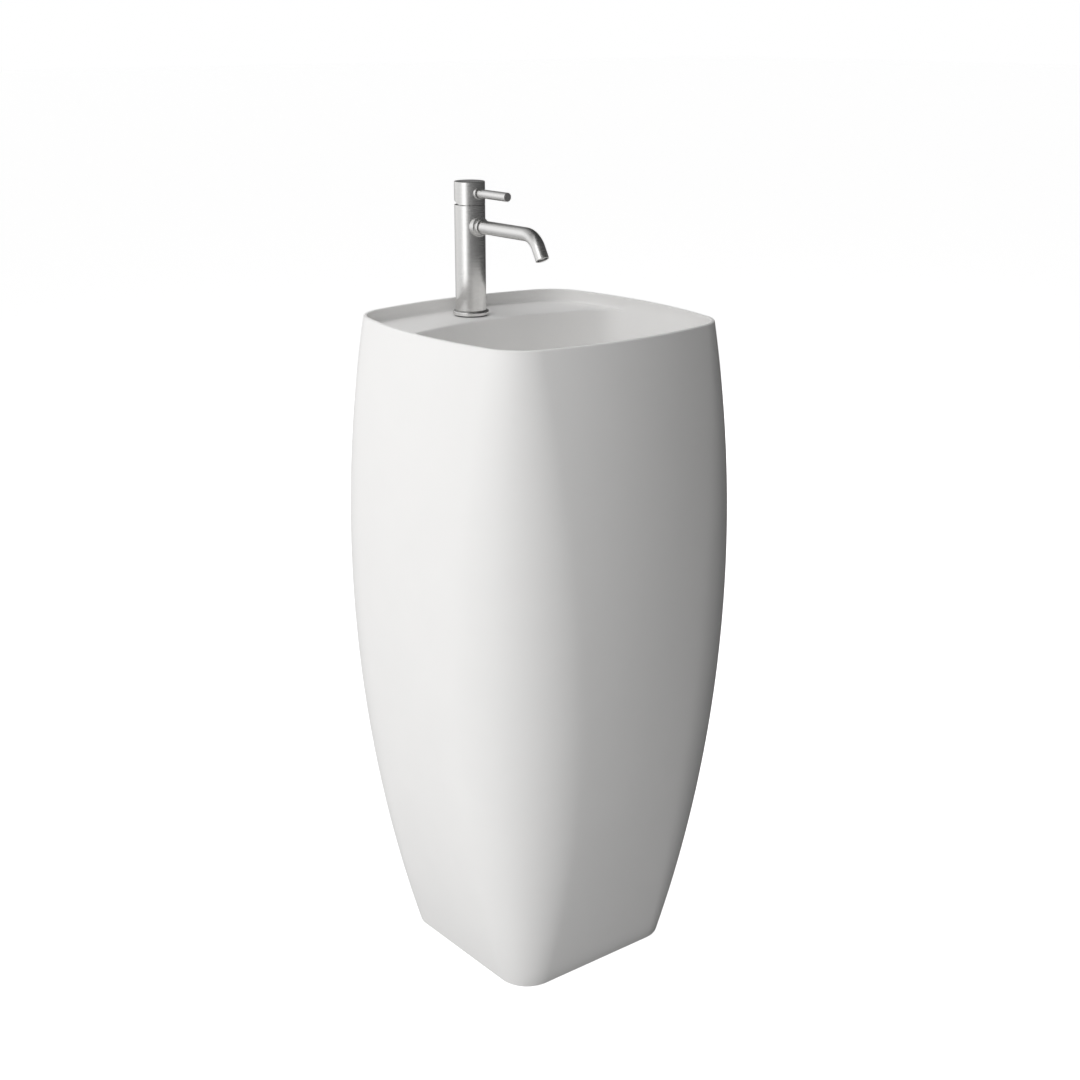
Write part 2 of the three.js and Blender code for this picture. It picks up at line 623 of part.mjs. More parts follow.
// Under the deck: the shank is drawn down by a nut over a rubber and a steel washer.
const SHANK_END = DECK_LEVEL - SHANK_BELOW_DECK;
const tapWasher = (thickness, top, outer) =>
  sleeve(SHANK_RADIUS + GAP, outer, top - thickness, top);
const MOUNT_SEAL = 3;
const MOUNT_WASHER = 2;
const MOUNT_NUT = 9;
const MOUNT_SEAL_TOP = SEAT_LEVEL - GAP;
const MOUNT_WASHER_TOP = MOUNT_SEAL_TOP - MOUNT_SEAL - GAP;
const MOUNT_NUT_TOP = MOUNT_WASHER_TOP - MOUNT_WASHER - GAP;

const shank = () =>
  sleeve(SHANK_RADIUS - SHANK_WALL, SHANK_RADIUS, SHANK_END, SHANK_TOP);

const hexNut = (bore, acrossCorners, low, high) =>
  cut(disc(acrossCorners / 2, low, high, 6), disc(bore, low - 1, high + 1));

const inletTail = (side) =>
  sleeve(TAIL_RADIUS - TAIL_WALL, TAIL_RADIUS, DECK_LEVEL - TAIL_BELOW_DECK, TAIL_TOP, 16)
    .translate([(side * TAIL_SPACING) / 2, TAIL_BEHIND_AXIS, 0]);

// ---- waste and trap, about the drain's axis ------------------------------------------------
const DRAIN_LEVEL = DECK_LEVEL - BOWL_DEPTH;
const WASTE_SEAT = DRAIN_LEVEL + GAP + SEAL_THICKNESS + GAP;
const WASTE_TOP = WASTE_SEAT + WASTE_FLANGE_HEIGHT;
const WASTE_END = WASTE_TOP - WASTE_LENGTH;
const WASTE_BORE = WASTE_RADIUS - WASTE_WALL;
const HUB_TOP = WASTE_TOP - 23;
const HUB_THICKNESS = 6;
const BOSS_BOTTOM = DRAIN_LEVEL - DRAIN_BOSS_THICKNESS;
const PLUG_SEAL_THICKNESS = 1.8;
const PLUG_SEAL_BASE = WASTE_TOP + MOVING_GAP + PLUG_TRAVEL;
const PLUG_BASE = PLUG_SEAL_BASE + PLUG_SEAL_THICKNESS + GAP;
const PLUG_BOSS_RADIUS = 9;
const PLUG_BOSS_BASE = PLUG_BASE - 2;
const STEM_TOP = PLUG_BASE + 2.6;
const STOP_NUT_TOP = HUB_TOP - HUB_THICKNESS - MOVING_GAP;
const STOP_NUT_HEIGHT = 5;

const wasteGasket = () =>
  sleeve(WASTE_RADIUS + GAP, WASTE_FLANGE_RADIUS - 2, DRAIN_LEVEL + GAP, WASTE_SEAT - GAP);

function wasteBody() {
  const tube = sleeve(WASTE_BORE, WASTE_RADIUS, WASTE_END, WASTE_TOP - 1);
  const [r, high] = [WASTE_FLANGE_RADIUS, WASTE_TOP];
  const flange = turned([
    [WASTE_BORE, WASTE_SEAT], [r - 0.5, WASTE_SEAT], [r, WASTE_SEAT + 0.8], [r - 1.4, high],
    [WASTE_BORE + 1, high], [WASTE_BORE, high - 1], [WASTE_BORE, WASTE_SEAT],
  ]);
  const middle = HUB_TOP - HUB_THICKNESS / 2;
  const spokes = [0, 1, 2].map((i) =>
    box(WASTE_BORE + 1, 3, HUB_THICKNESS, [(WASTE_BORE + 1) / 2, 0, middle]).rotate([0, 0, 120 * i + 90]),
  );
  const hub = disc(7, HUB_TOP - HUB_THICKNESS, HUB_TOP, 16);
  const guide = disc(STEM_RADIUS + MOVING_GAP, HUB_TOP - 20, HUB_TOP + 20, 16);
  return cut(join(tube, flange, hub, ...spokes), guide);
}

const WASTE_WASHER = 3;
const WASTE_WASHER_TOP = BOSS_BOTTOM - GAP;
const LOCK_NUT_TOP = WASTE_WASHER_TOP - WASTE_WASHER - GAP;
const wasteWasher = () =>
  sleeve(WASTE_RADIUS + GAP, 31, WASTE_WASHER_TOP - WASTE_WASHER, WASTE_WASHER_TOP);

function wastePlug() {
  const crown = 3.4;
  const rim = 2.2;
  const r = PLUG_RADIUS;
  const dome = turned([
    [0, PLUG_BOSS_BASE], [PLUG_BOSS_RADIUS, PLUG_BOSS_BASE], [PLUG_BOSS_RADIUS, PLUG_BASE],
    [r - 0.5, PLUG_BASE], [r, PLUG_BASE + 0.6], [r - 0.4, PLUG_BASE + rim],
    [r * 0.85, PLUG_BASE + rim + crown * 0.45], [r * 0.5, PLUG_BASE + rim + crown * 0.85],
    [0, PLUG_BASE + rim + crown],
  ], 28);
  return cut(dome, disc(STEM_RADIUS + GAP, PLUG_BOSS_BASE - 1, STEM_TOP + GAP, 16));
}

const plugSeal = () =>
  sleeve(PLUG_RADIUS - 9, PLUG_RADIUS - 2, PLUG_SEAL_BASE, PLUG_BASE - GAP);
const plugStem = () => disc(STEM_RADIUS, STOP_NUT_TOP - STOP_NUT_HEIGHT - 4, STEM_TOP, 16);
const plugStopNut = () =>
  cut(
    disc(6.2, STOP_NUT_TOP - STOP_NUT_HEIGHT, STOP_NUT_TOP, 6),
    disc(STEM_RADIUS + GAP, STOP_NUT_TOP - 10, STOP_NUT_TOP + 10, 16),
  );

function plugSpring() {
  const [wire, coil, turns, perTurn, sides] = [0.7, 6.2, 4, 9, 4];
  const [low, high] = [HUB_TOP + GAP + wire, PLUG_BOSS_BASE - GAP - wire];
  const rings = [];
  for (let i = 0; i <= turns * perTurn; i += 1) {
    const angle = (2 * Math.PI * i) / perTurn;
    const z = low + ((high - low) * i) / (turns * perTurn);
    const ring = arc(coil, z, wire, 2 * Math.PI, 0, sides).map(
      ([r, level]) => new THREE.Vector3(r * Math.cos(angle), r * Math.sin(angle), level),
    );
    rings.push(ring);
  }
  return skin(rings);
}

const TRAP_TOP = WASTE_END - TRAP_DROP;
const OUTLET_LEVEL = TRAP_TOP - OUTLET_DROP;
const FLOOR_PIPE_TOP = OUTLET_LEVEL - FLOOR_PIPE_DROP;

// The dip tube hangs from a union nut on the waste's thread and slides into the trap.
const NUT_LIP = 3;
const PIPE_BORE = TRAP_PIPE_RADIUS - TRAP_PIPE_WALL;
const PIPE_FLANGE = WASTE_RADIUS - GAP;
const INLET_SEAL_TOP = WASTE_END - GAP;
const PIPE_FLANGE_TOP = INLET_SEAL_TOP - SEAL_THICKNESS - GAP;
const PIPE_FLANGE_THICKNESS = 1.6;
const INLET_NUT_SEAT = PIPE_FLANGE_TOP - PIPE_FLANGE_THICKNESS - GAP;
const UNION_OUTER = 27;
const DIP_END = OUTLET_LEVEL - TRAP_PIPE_RADIUS - WATER_SEAL;

const trapInletSeal = () =>
  sleeve(PIPE_BORE, PIPE_FLANGE, INLET_SEAL_TOP - SEAL_THICKNESS, INLET_SEAL_TOP);
const trapInletNut = () =>
  unionNut(
    WASTE_RADIUS + GAP, UNION_OUTER, TRAP_PIPE_RADIUS + GAP,
    WASTE_END + 14, INLET_NUT_SEAT, INLET_NUT_SEAT - NUT_LIP,
  );

function dipTube() {
  const low = PIPE_FLANGE_TOP - PIPE_FLANGE_THICKNESS;
  return turned([
    [PIPE_BORE, DIP_END], [TRAP_PIPE_RADIUS, DIP_END], [TRAP_PIPE_RADIUS, low],
    [PIPE_FLANGE, low], [PIPE_FLANGE, PIPE_FLANGE_TOP], [PIPE_BORE, PIPE_FLANGE_TOP],
    [PIPE_BORE, DIP_END],
  ]);
}

const NECK_RADIUS = 20.5;
const NECK_TOP = TRAP_TOP + 11;
const TRAP_SEAL_THICKNESS = 2.2;
const DIP_NUT_SEAT = NECK_TOP + GAP + TRAP_SEAL_THICKNESS + GAP;
const dipTubeSeal = () =>
  sleeve(TRAP_PIPE_RADIUS + GAP, NECK_RADIUS - GAP, NECK_TOP + GAP, DIP_NUT_SEAT - GAP);
const dipTubeNut = () =>
  unionNut(
    NECK_RADIUS + GAP, NECK_RADIUS + 4.5, TRAP_PIPE_RADIUS + GAP,
    TRAP_TOP + 3, DIP_NUT_SEAT, DIP_NUT_SEAT + NUT_LIP - 1,
  );

// The outlet side is measured back along +Y from the trap's axis.
const OUTLET_END = TRAP_RADIUS + 22;
const OUTLET_BORE = TRAP_PIPE_RADIUS + 1.5;
const OUTLET_SEAT = OUTLET_END + GAP + TRAP_SEAL_THICKNESS + GAP;
const NEAREST_PIPE = DRAIN_Y + OUTLET_SEAT + NUT_LIP + OUTLET_BEND_RADIUS;
const COLLAR_REACH = FLOOR_COLLAR_RADIUS + FLOOR_COLLAR_CLEARANCE;
const FARTHEST_PIPE = halfWidth(0) - COLUMN_WALL - COLLAR_REACH;
const FLOOR_PIPE_Y = THREE.MathUtils.lerp(NEAREST_PIPE, FARTHEST_PIPE, FLOOR_PIPE_SHARE);
const laidBack = (body) => body.rotate([-90, 0, 0]).translate([0, 0, OUTLET_LEVEL]);

function trapBody() {
  const low = TRAP_TOP - TRAP_BODY_HEIGHT;
  const inner = TRAP_RADIUS - TRAP_WALL;
  const roof = TRAP_TOP - TRAP_WALL;
  const pot = join(disc(TRAP_RADIUS, low, TRAP_TOP), disc(NECK_RADIUS, TRAP_TOP - 1, NECK_TOP));
  const port = laidBack(disc(NECK_RADIUS, TRAP_RADIUS - 6, OUTLET_END));
  const throat = laidBack(disc(OUTLET_BORE, TRAP_RADIUS - 8, OUTLET_END + 1));
  const entry = disc(TRAP_PIPE_RADIUS + GAP, TRAP_TOP - 20, NECK_TOP + 1);
  return cut(join(pot, port), disc(inner, low - 1, roof), throat, entry);
}

const CUP_LAP = 12;
const CUP_SHOULDER = TRAP_TOP - TRAP_BODY_HEIGHT - GAP - SEAL_THICKNESS - GAP;
function trapCup() {
  const low = TRAP_TOP - TRAP_BODY_HEIGHT - TRAP_CUP_DEPTH;
  const high = TRAP_TOP - TRAP_BODY_HEIGHT + CUP_LAP;
  const [r, inner, lap] = [TRAP_CUP_RADIUS, TRAP_RADIUS - TRAP_WALL, TRAP_RADIUS + GAP];
  const floor = low + 4;
  return turned([
    [0, low], [r - 6, low], [r - 2, low + 4], [r, high - CUP_LAP], [r, high], [lap, high],
    [lap, CUP_SHOULDER], [inner, CUP_SHOULDER], [inner - 1, floor + 4], [inner - 5, floor],
    [0, floor],
  ], 32);
}
const trapCupSeal = () =>
  sleeve(TRAP_RADIUS - TRAP_WALL, TRAP_RADIUS, CUP_SHOULDER + GAP, CUP_SHOULDER + GAP + SEAL_THICKNESS);

const trapOutletSeal = () =>
  laidBack(sleeve(TRAP_PIPE_RADIUS + GAP, NECK_RADIUS - GAP, OUTLET_END + GAP, OUTLET_SEAT - GAP));
const trapOutletNut = () =>
  laidBack(
    unionNut(
      NECK_RADIUS + GAP, NECK_RADIUS + 4.5, TRAP_PIPE_RADIUS + GAP,
      OUTLET_END - 11, OUTLET_SEAT, OUTLET_SEAT + NUT_LIP - 1,
    ),
  );

function outletElbow() {
  const bendSteps = 7;
  const floorPipe = FLOOR_PIPE_Y - DRAIN_Y;
  const stations = [{ y: OUTLET_END - 18, z: OUTLET_LEVEL, down: 0 }];
  for (let i = 0; i <= bendSteps; i += 1) {
    const turn = (QUARTER * i) / bendSteps;
    const y = floorPipe - OUTLET_BEND_RADIUS * (1 - Math.sin(turn));
    const z = OUTLET_LEVEL - OUTLET_BEND_RADIUS * (1 - Math.cos(turn));
    stations.push({ y, z, down: -turn });
  }
  stations.push({ y: floorPipe, z: FLOOR_PIPE_TOP - 20, down: -QUARTER });
  return bentPipe(stations, TRAP_PIPE_RADIUS, TRAP_PIPE_WALL);
}

const FLOOR_PIPE_END = 3;
const floorPipe = () =>
  sleeve(FLOOR_PIPE_RADIUS - FLOOR_PIPE_WALL, FLOOR_PIPE_RADIUS, FLOOR_PIPE_END, FLOOR_PIPE_TOP);
const floorPipeSeal = () =>
  sleeve(
    TRAP_PIPE_RADIUS + GAP, FLOOR_PIPE_RADIUS - FLOOR_PIPE_WALL - GAP,
    FLOOR_PIPE_TOP - 12, FLOOR_PIPE_TOP - 1,
  );
const floorCollar = () => {
  const [bore, r] = [FLOOR_PIPE_RADIUS + GAP, FLOOR_COLLAR_RADIUS];
  return turned([[bore, 0.4], [r, 0.4], [r, 1.6], [24, 7], [bore, 7], [bore, 0.4]]);
};

// ---- the assembly ---------------------------------------------------------------------------
const sink = new THREE.Group();
const tap = new THREE.Group();
tap.position.set(0, TAP_Y, 0);
const waste = new THREE.Group();
waste.position.set(0, DRAIN_Y, 0);
const floorOutlet = new THREE.Group();
floorOutlet.position.set(0, FLOOR_PIPE_Y, 0);
sink.add(tap, waste, floorOutlet);

function put(group, material, pieces) {
  for (const [name, body] of Object.entries(pieces)) {
    const mesh = new THREE.Mesh(geometryOf(body), material);
    mesh.name = name;
    group.add(mesh);
  }
}

put(sink, casting, { column_shell: columnShell(), basin_bowl: basinBowl() });

put(tap, brushedSteel, {
  base_flange: baseFlange(),
  tap_body: tapBody(),
  spout_tube: bentPipe(spoutPath(), SPOUT_RADIUS, SPOUT_WALL, 20),
  spout_collar: spoutCollar(),
  handle_cap: handleCap(),
  lever_rod: leverRod(),
  lever_collar: leverCollar(),
});
put(tap, polishedSteel, { cartridge_nut: cartridgeNut() });
put(tap, plainSteel, {
  grub_screw: grubScrew(),
  pivot_pin: pivotPin(),
  cartridge_spindle: cartridgeSpindle(),
  mounting_washer: tapWasher(MOUNT_WASHER, MOUNT_WASHER_TOP, 24),
});
put(tap, brass, {
  mounting_shank: shank(),
  mounting_nut: hexNut(SHANK_RADIUS + GAP, 48, MOUNT_NUT_TOP - MOUNT_NUT, MOUNT_NUT_TOP),
  hot_inlet_tail: inletTail(-1),
  cold_inlet_tail: inletTail(1),
});
put(tap, rubber, {
  base_gasket: sleeve(SHANK_RADIUS + GAP, FLANGE_RADIUS - 2, up(GAP), up(GAP + GASKET_HEIGHT)),
  cartridge_seal: cartridgeSeal(),
  mounting_seal: tapWasher(MOUNT_SEAL, MOUNT_SEAL_TOP, 24),
});
put(tap, ceramic, { fixed_disc: fixedDisc(), moving_disc: movingDisc() });
put(tap, acetal, {
  aerator_housing: aeratorHousing(),
  disc_slider: discSlider(),
  spindle_holder: spindleHolder(),
  cartridge_housing: cartridgeHousing(),
});
put(tap, whitePlastic, { aerator_insert: aeratorInsert() });

put(waste, polishedSteel, { waste_body: wasteBody(), waste_plug: wastePlug() });
put(waste, plainSteel, {
  plug_stem: plugStem(),
  plug_stop_nut: plugStopNut(),
  plug_spring: plugSpring(),
});
put(waste, brass, { waste_lock_nut: hexNut(WASTE_RADIUS + GAP, 60, LOCK_NUT_TOP - 9, LOCK_NUT_TOP) });
put(waste, rubber, {
  waste_gasket: wasteGasket(),
  waste_washer: wasteWasher(),
  plug_seal: plugSeal(),
  trap_inlet_seal: trapInletSeal(),
  dip_tube_seal: dipTubeSeal(),
  trap_cup_seal: trapCupSeal(),
  trap_outlet_seal: trapOutletSeal(),
});
put(waste, whitePlastic, {
  trap_inlet_nut: trapInletNut(),
  dip_tube: dipTube(),
  dip_tube_nut: dipTubeNut(),
  trap_body: trapBody(),
  trap_cup: trapCup(),
  trap_outlet_nut: trapOutletNut(),
  outlet_elbow: outletElbow(),
});

put(floorOutlet, rubber, { floor_pipe_seal: floorPipeSeal() });
put(floorOutlet, whitePlastic, { floor_pipe: floorPipe(), floor_collar: floorCollar() });

export default sink;
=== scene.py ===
"""The looks of a pedestal sink: a cast column with a bowl, a brushed steel lever tap and a waste.

Metres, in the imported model's frame: +Z up, the spout towards -Y. Levels and places come from the
CAD nodes' boxes; the sizes below are the object's own.
"""
import math

import bmesh
import bpy
import numpy as np
from mathutils import Matrix, Vector


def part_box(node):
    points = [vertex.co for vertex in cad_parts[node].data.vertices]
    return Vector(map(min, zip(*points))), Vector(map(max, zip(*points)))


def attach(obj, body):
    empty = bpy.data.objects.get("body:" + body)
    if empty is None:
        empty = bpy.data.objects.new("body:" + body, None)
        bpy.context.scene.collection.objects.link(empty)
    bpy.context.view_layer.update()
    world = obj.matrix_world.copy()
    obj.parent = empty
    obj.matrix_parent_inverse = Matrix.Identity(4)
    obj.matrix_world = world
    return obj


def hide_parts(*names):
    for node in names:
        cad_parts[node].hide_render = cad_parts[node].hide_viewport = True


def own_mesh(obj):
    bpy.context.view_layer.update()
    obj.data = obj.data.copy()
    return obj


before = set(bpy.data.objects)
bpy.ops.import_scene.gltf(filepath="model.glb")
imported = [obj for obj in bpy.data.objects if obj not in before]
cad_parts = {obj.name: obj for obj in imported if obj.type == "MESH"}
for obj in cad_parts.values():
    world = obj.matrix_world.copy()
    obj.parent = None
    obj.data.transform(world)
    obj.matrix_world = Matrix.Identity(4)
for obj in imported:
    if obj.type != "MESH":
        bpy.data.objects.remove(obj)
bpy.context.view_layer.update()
MM = 0.001


def low(node):
    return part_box(node)[0]


def high(node):
    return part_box(node)[1]


def middle(node):
    return (low(node) + high(node)) / 2


# ---- sizes ------------------------------------------------------------------------------------
HEIGHT = high("column_shell").z
BELLY = high("column_shell").x
BELLY_LEVEL = 570 * MM
BELLY_RADIUS = 1875 * MM
CORNER_RADII = (43 * MM, 133 * MM, 62.5 * MM)  # at the foot, half way up and at the rim
RIM_SIDE_RADIUS = 575 * MM
RIM_WALL = 5.2 * MM
RIM_ROUNDING = 2 * MM
FOOT_ROUNDING = 2 * MM
COLUMN_WALL = 12 * MM
SEAT_WALL = 7.6 * MM
REBATE_WALL = 3.7 * MM  # of the rim outside the bowl's lip
LIP_THICKNESS = 1.2 * MM
SEAM = 0.03 * MM

BOWL_DEPTH = 122 * MM
SEAT_DEPTH = 14 * MM  # of the seat that carries the bowl, below the deck
SEAT_GAP = 0.3 * MM

DECK = high("basin_bowl").z
SEAT = DECK - SEAT_DEPTH
DRAIN = Vector((0, middle("waste_body").y, DECK - BOWL_DEPTH))
BOWL_LIP = 3.5 * MM
BOWL_WALL = 5.5 * MM
BOWL_DRAFT = math.radians(12)
FLOOR_FILLET = 36 * MM
FLOOR_FALL = 8 * MM
DRAIN_RADIUS = 34 * MM
TAP = Vector((0, middle("tap_body").y, low("tap_body").z))
BOWL_TO_TAP = 42 * MM
BOWL_BACK = TAP.y - BOWL_TO_TAP
BOWL_BACK_RADIUS = 420 * MM
BOWL_BACK_CORNER = 45 * MM

TAP_RADIUS = high("tap_body").x
LIFT_PIVOT = 151 * MM  # above the deck
CAP_GAP = 0.6 * MM  # between the tap body and the cap's skirt
PIVOT = DECK + LIFT_PIVOT
SKIRT = high("tap_body").z + CAP_GAP

# ---- outlines ---------------------------------------------------------------------------------
FRONT = -math.pi / 2


def half_width(z):
    return BELLY - BELLY_RADIUS + math.sqrt(BELLY_RADIUS**2 - (z - BELLY_LEVEL) ** 2)


def corner_radius(z):
    """Passes through its three stated values at the foot, half way up and at the rim."""
    t = z / HEIGHT
    foot, mid, rim = CORNER_RADII
    return foot * 2 * (t - 0.5) * (t - 1) + mid * 4 * t * (1 - t) + rim * 2 * t * (t - 0.5)


def side_radius(z):
    return RIM_SIDE_RADIUS / max(z / HEIGHT, 1e-3)


def on_arcs(arcs, shares):
    """Points and inward normals at shares of the whole length of arcs (x, y, radius, from, to)."""
    lengths = np.array([abs(arc[4] - arc[3]) * arc[2] for arc in arcs])
    ends = np.concatenate([[0], np.cumsum(lengths)])
    found = []
    for s in np.asarray(shares) * ends[-1]:
        k = min(int(np.searchsorted(ends, s, side="right")) - 1, len(arcs) - 1)
        x, y, radius, start, end = arcs[k]
        angle = start + (end - start) * (s - ends[k]) / max(lengths[k], 1e-12)
        c, d = math.cos(angle), math.sin(angle)
        found.append((x + radius * c, y + radius * d, -c, -d))
    return found


def even(count):
    return np.arange(count) / count


FRONT_STEPS, CORNER_STEPS, SIDE_STEPS, REAR_STEPS = 10, 26, 22, 64


def whole_ring(right):
    """The full ring from its right half, which runs from the front middle to the rear middle."""
    left = [(-x, y, -u, v) for x, y, u, v in right[1:-1]]
    return np.array(right + left[::-1])


def corner_centre(w, side, corner):
    q = side - w
    c = (-q + math.sqrt(2 * (side - corner) ** 2 - q * q)) / 2
    return q, c, math.atan2(c, c + q)


def bowl_parts(inset):
    """The bowl's edge at the deck, moved inwards by inset, as its front arcs and its rear arcs."""
    w = half_width(DECK) - RIM_WALL - BOWL_LIP - inset
    side = side_radius(DECK) - inset
    corner = corner_radius(DECK) - RIM_WALL - BOWL_LIP + max(-inset, 0)
    q, c, meet = corner_centre(w, side, corner)
    back = BOWL_BACK - inset
    near, far = side - BOWL_BACK_CORNER, BOWL_BACK_RADIUS - BOWL_BACK_CORNER
    by = back - BOWL_BACK_RADIUS
    span = math.hypot(q, by)
    along = (near**2 - far**2 + span**2) / (2 * span)
    off = math.sqrt(near**2 - along**2)
    ux, uy = q / span, by / span
    fx, fy = -q + ux * along - uy * off, uy * along + ux * off
    side_end = math.atan2(fy, fx + q)
    back_start = math.atan2(fy - by, fx)
    front = [
        (0, q, side, FRONT, FRONT + meet),
        (c, -c, corner, FRONT + meet, -meet),
        (-q, 0, side, -meet, side_end),
    ]
    rear = [
        (fx, fy, BOWL_BACK_CORNER, side_end, back_start),
        (0, by, BOWL_BACK_RADIUS, back_start, math.pi / 2),
    ]
    return front, rear


SIDE_END = bowl_parts(0)[0][2][4]


def column_parts(w, side, corner):
    """A bowed square's arcs, split where the bowl's side ends."""
    q, c, meet = corner_centre(w, side, corner)
    front = [
        (0, q, side, FRONT, FRONT + meet),
        (c, -c, corner, FRONT + meet, -meet),
        (-q, 0, side, -meet, SIDE_END * meet / SIDE_MEET),
    ]
    rear = [
        (-q, 0, side, SIDE_END * meet / SIDE_MEET, meet),
        (c, c, corner, meet, math.pi / 2 - meet),
        (0, -q, side, math.pi / 2 - meet, math.pi / 2),
    ]
    return front, rear


SIDE_MEET = corner_centre(half_width(DECK), side_radius(DECK), corner_radius(DECK))[2]


def ring_of(front, rear):
    right = []
    for arc, steps in zip(front, (FRONT_STEPS, CORNER_STEPS, SIDE_STEPS)):
        right += on_arcs([arc], even(steps))
    return whole_ring(right + on_arcs(rear, np.arange(REAR_STEPS + 1) / REAR_STEPS))


def column_ring(z, inset):
    """Points and inward normals round the column's section at height z."""
    sizes = half_width(z) - inset, side_radius(z) - inset, corner_radius(z) - inset
    return ring_of(*column_parts(*sizes))


def at_height(ring, z):
    return np.column_stack([ring[:, :2], np.full(len(ring), z)])


# ---- meshes -----------------------------------------------------------------------------------
def grid_faces(rows, count, looped):
    faces = []
    for r in range(rows if looped else rows - 1):
        a, b = r * count, ((r + 1) % rows) * count
        for i in range(count):
            j = (i + 1) % count
            faces.append((a + i, a + j, b + j, b + i))
    return faces


def make(name, points, faces, grain=None):
    """A mesh object with outward faces, and a grain map where one is given."""
    mesh = bpy.data.meshes.new(name)
    mesh.from_pydata([tuple(map(float, p)) for p in points], [], faces)
    if grain is not None:
        layer = mesh.uv_layers.new(name="grain")
        for polygon in mesh.polygons:
            spots = [grain[v] for v in polygon.vertices]
            wraps = max(u for u, _ in spots) - min(u for u, _ in spots) > 0.5
            for loop, (u, v) in zip(polygon.loop_indices, spots):
                layer.data[loop].uv = (u + 1 if wraps and u < 0.5 else u, v)
    obj = bpy.data.objects.new(name, mesh)
    bpy.context.scene.collection.objects.link(obj)
    face_outwards(mesh)
    return obj


def face_outwards(mesh):
    bm = bmesh.new()
    bm.from_mesh(mesh)
    bmesh.ops.remove_doubles(bm, verts=bm.verts, dist=1e-7)
    bmesh.ops.recalc_face_normals(bm, faces=bm.faces)
    if bm.calc_volume(signed=True) < 0:
        bmesh.ops.reverse_faces(bm, faces=bm.faces)
    bm.to_mesh(mesh)
    bm.free()


def apply_modifiers(obj):
    graph = bpy.context.evaluated_depsgraph_get()
    mesh = bpy.data.meshes.new_from_object(obj.evaluated_get(graph))
    old = obj.data
    obj.modifiers.clear()
    obj.data = mesh
    bpy.data.meshes.remove(old)


def combine(obj, others, operation="DIFFERENCE"):
    """Cuts obj by the others, or joins them to it, and deletes them."""
    for other in others:
        tool = obj.modifiers.new("boolean", "BOOLEAN")
        tool.operation, tool.solver, tool.object = operation, "EXACT", other
    bpy.context.view_layer.update()
    apply_modifiers(obj)
    for other in others:
        bpy.data.objects.remove(other)
    return obj


SHARP_ANGLE = math.radians(32)


def finished(obj, body, slot, *nodes):
    """Shades the piece, gives it its material, hangs it under its body's empty and hides the CAD nodes
    it stands for.
    """
    obj.data.shade_smooth()
    obj.data.set_sharp_from_angle(angle=SHARP_ANGLE)
    weighted = obj.modifiers.new("weighted", "WEIGHTED_NORMAL")
    weighted.keep_sharp = True
    obj.data.materials.clear()
    obj.data.materials.append(MATERIALS[slot])
    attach(obj, body)
    if nodes:
        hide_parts(*nodes)
    return obj


def rounded(corners, steps=5):
    """A profile of (radius, height, rounding) corners, in millimetres, as points."""
    points = []
    count = len(corners)
    for k, (r, z, fillet) in enumerate(corners):
        here = Vector((r, z))
        before, after = Vector(corners[k - 1][:2]), Vector(corners[(k + 1) % count][:2])
        if not fillet:
            points.append(here)
            continue
        back, on = (before - here).normalized(), (after - here).normalized()
        half = back.angle(on) / 2
        reach = fillet / math.tan(half)
        centre = here + (back + on).normalized() * (fillet / math.sin(half))
        start, end = here + back * reach - centre, here + on * reach - centre
        turn = start.angle_signed(end)
        for i in range(steps + 1):
            spoke = start.copy()
            spoke.rotate(Matrix.Rotation(-turn * i / steps, 2))
            points.append(centre + spoke)
    return points


def turned(name, corners, sides=96, steps=5, looped=True, shape=None):
    """A turned piece about Z from a profile in millimetres; shape may move its points."""
    profile = rounded(corners, steps)
    if looped:
        profile.append(profile[0])
    points, grain, rows = [], [], []
    length = 0
    for k, p in enumerate(profile):
        length += (p - profile[k - 1]).length if k else 0
        pole = p.x < 1e-6
        rows.append((len(points), pole))
        for i in range(1 if pole else sides):
            angle = 2 * math.pi * i / sides
            points.append((p.x * math.cos(angle), p.x * math.sin(angle), p.y))
            grain.append((i / sides, length))
    faces = []
    for (a, a_pole), (b, b_pole) in zip(rows, rows[1:]):
        for i in range(sides):
            j = (i + 1) % sides
            if a_pole and b_pole:
                continue
            if a_pole:
                faces.append((a, b + j, b + i))
            elif b_pole:
                faces.append((a + i, a + j, b))
            else:
                faces.append((a + i, a + j, b + j, b + i))
    points = np.array(points)
    if shape:
        points = np.array([shape(*p) for p in points])
    return make(name, points * MM, faces, grain)


def placed(obj, origin, lay=None):
    """Moves a piece's points so that its own axis starts at origin, laid along -Y and tipped."""
    turn = Matrix.Identity(4) if lay is None else Matrix.Rotation(math.pi / 2 + lay, 4, "X")
    obj.data.transform(Matrix.Translation(origin) @ turn)
    return obj


def drill(radius, start, end, origin=(0, 0, 0), lay=None, sides=48):
    """A round cutter from start to end, in millimetres."""
    corners = [(0, start, 0), (radius, start, 0), (radius, end, 0), (0, end, 0)]
    return placed(turned("drill", corners, sides, looped=False), origin, lay)


# ---- materials --------------------------------------------------------------------------------
def shader(name):
    material = bpy.data.materials.new(name)
    material.use_nodes = True
    nodes = material.node_tree.nodes
    return material, nodes, material.node_tree.links, nodes["Principled BSDF"]


def node(nodes, kind, inputs=(), **settings):
    made = nodes.new(kind)
    for key, value in settings.items():
        setattr(made, key, value)
    for key, value in dict(inputs).items():
        made.inputs[key].default_value = value
    return made


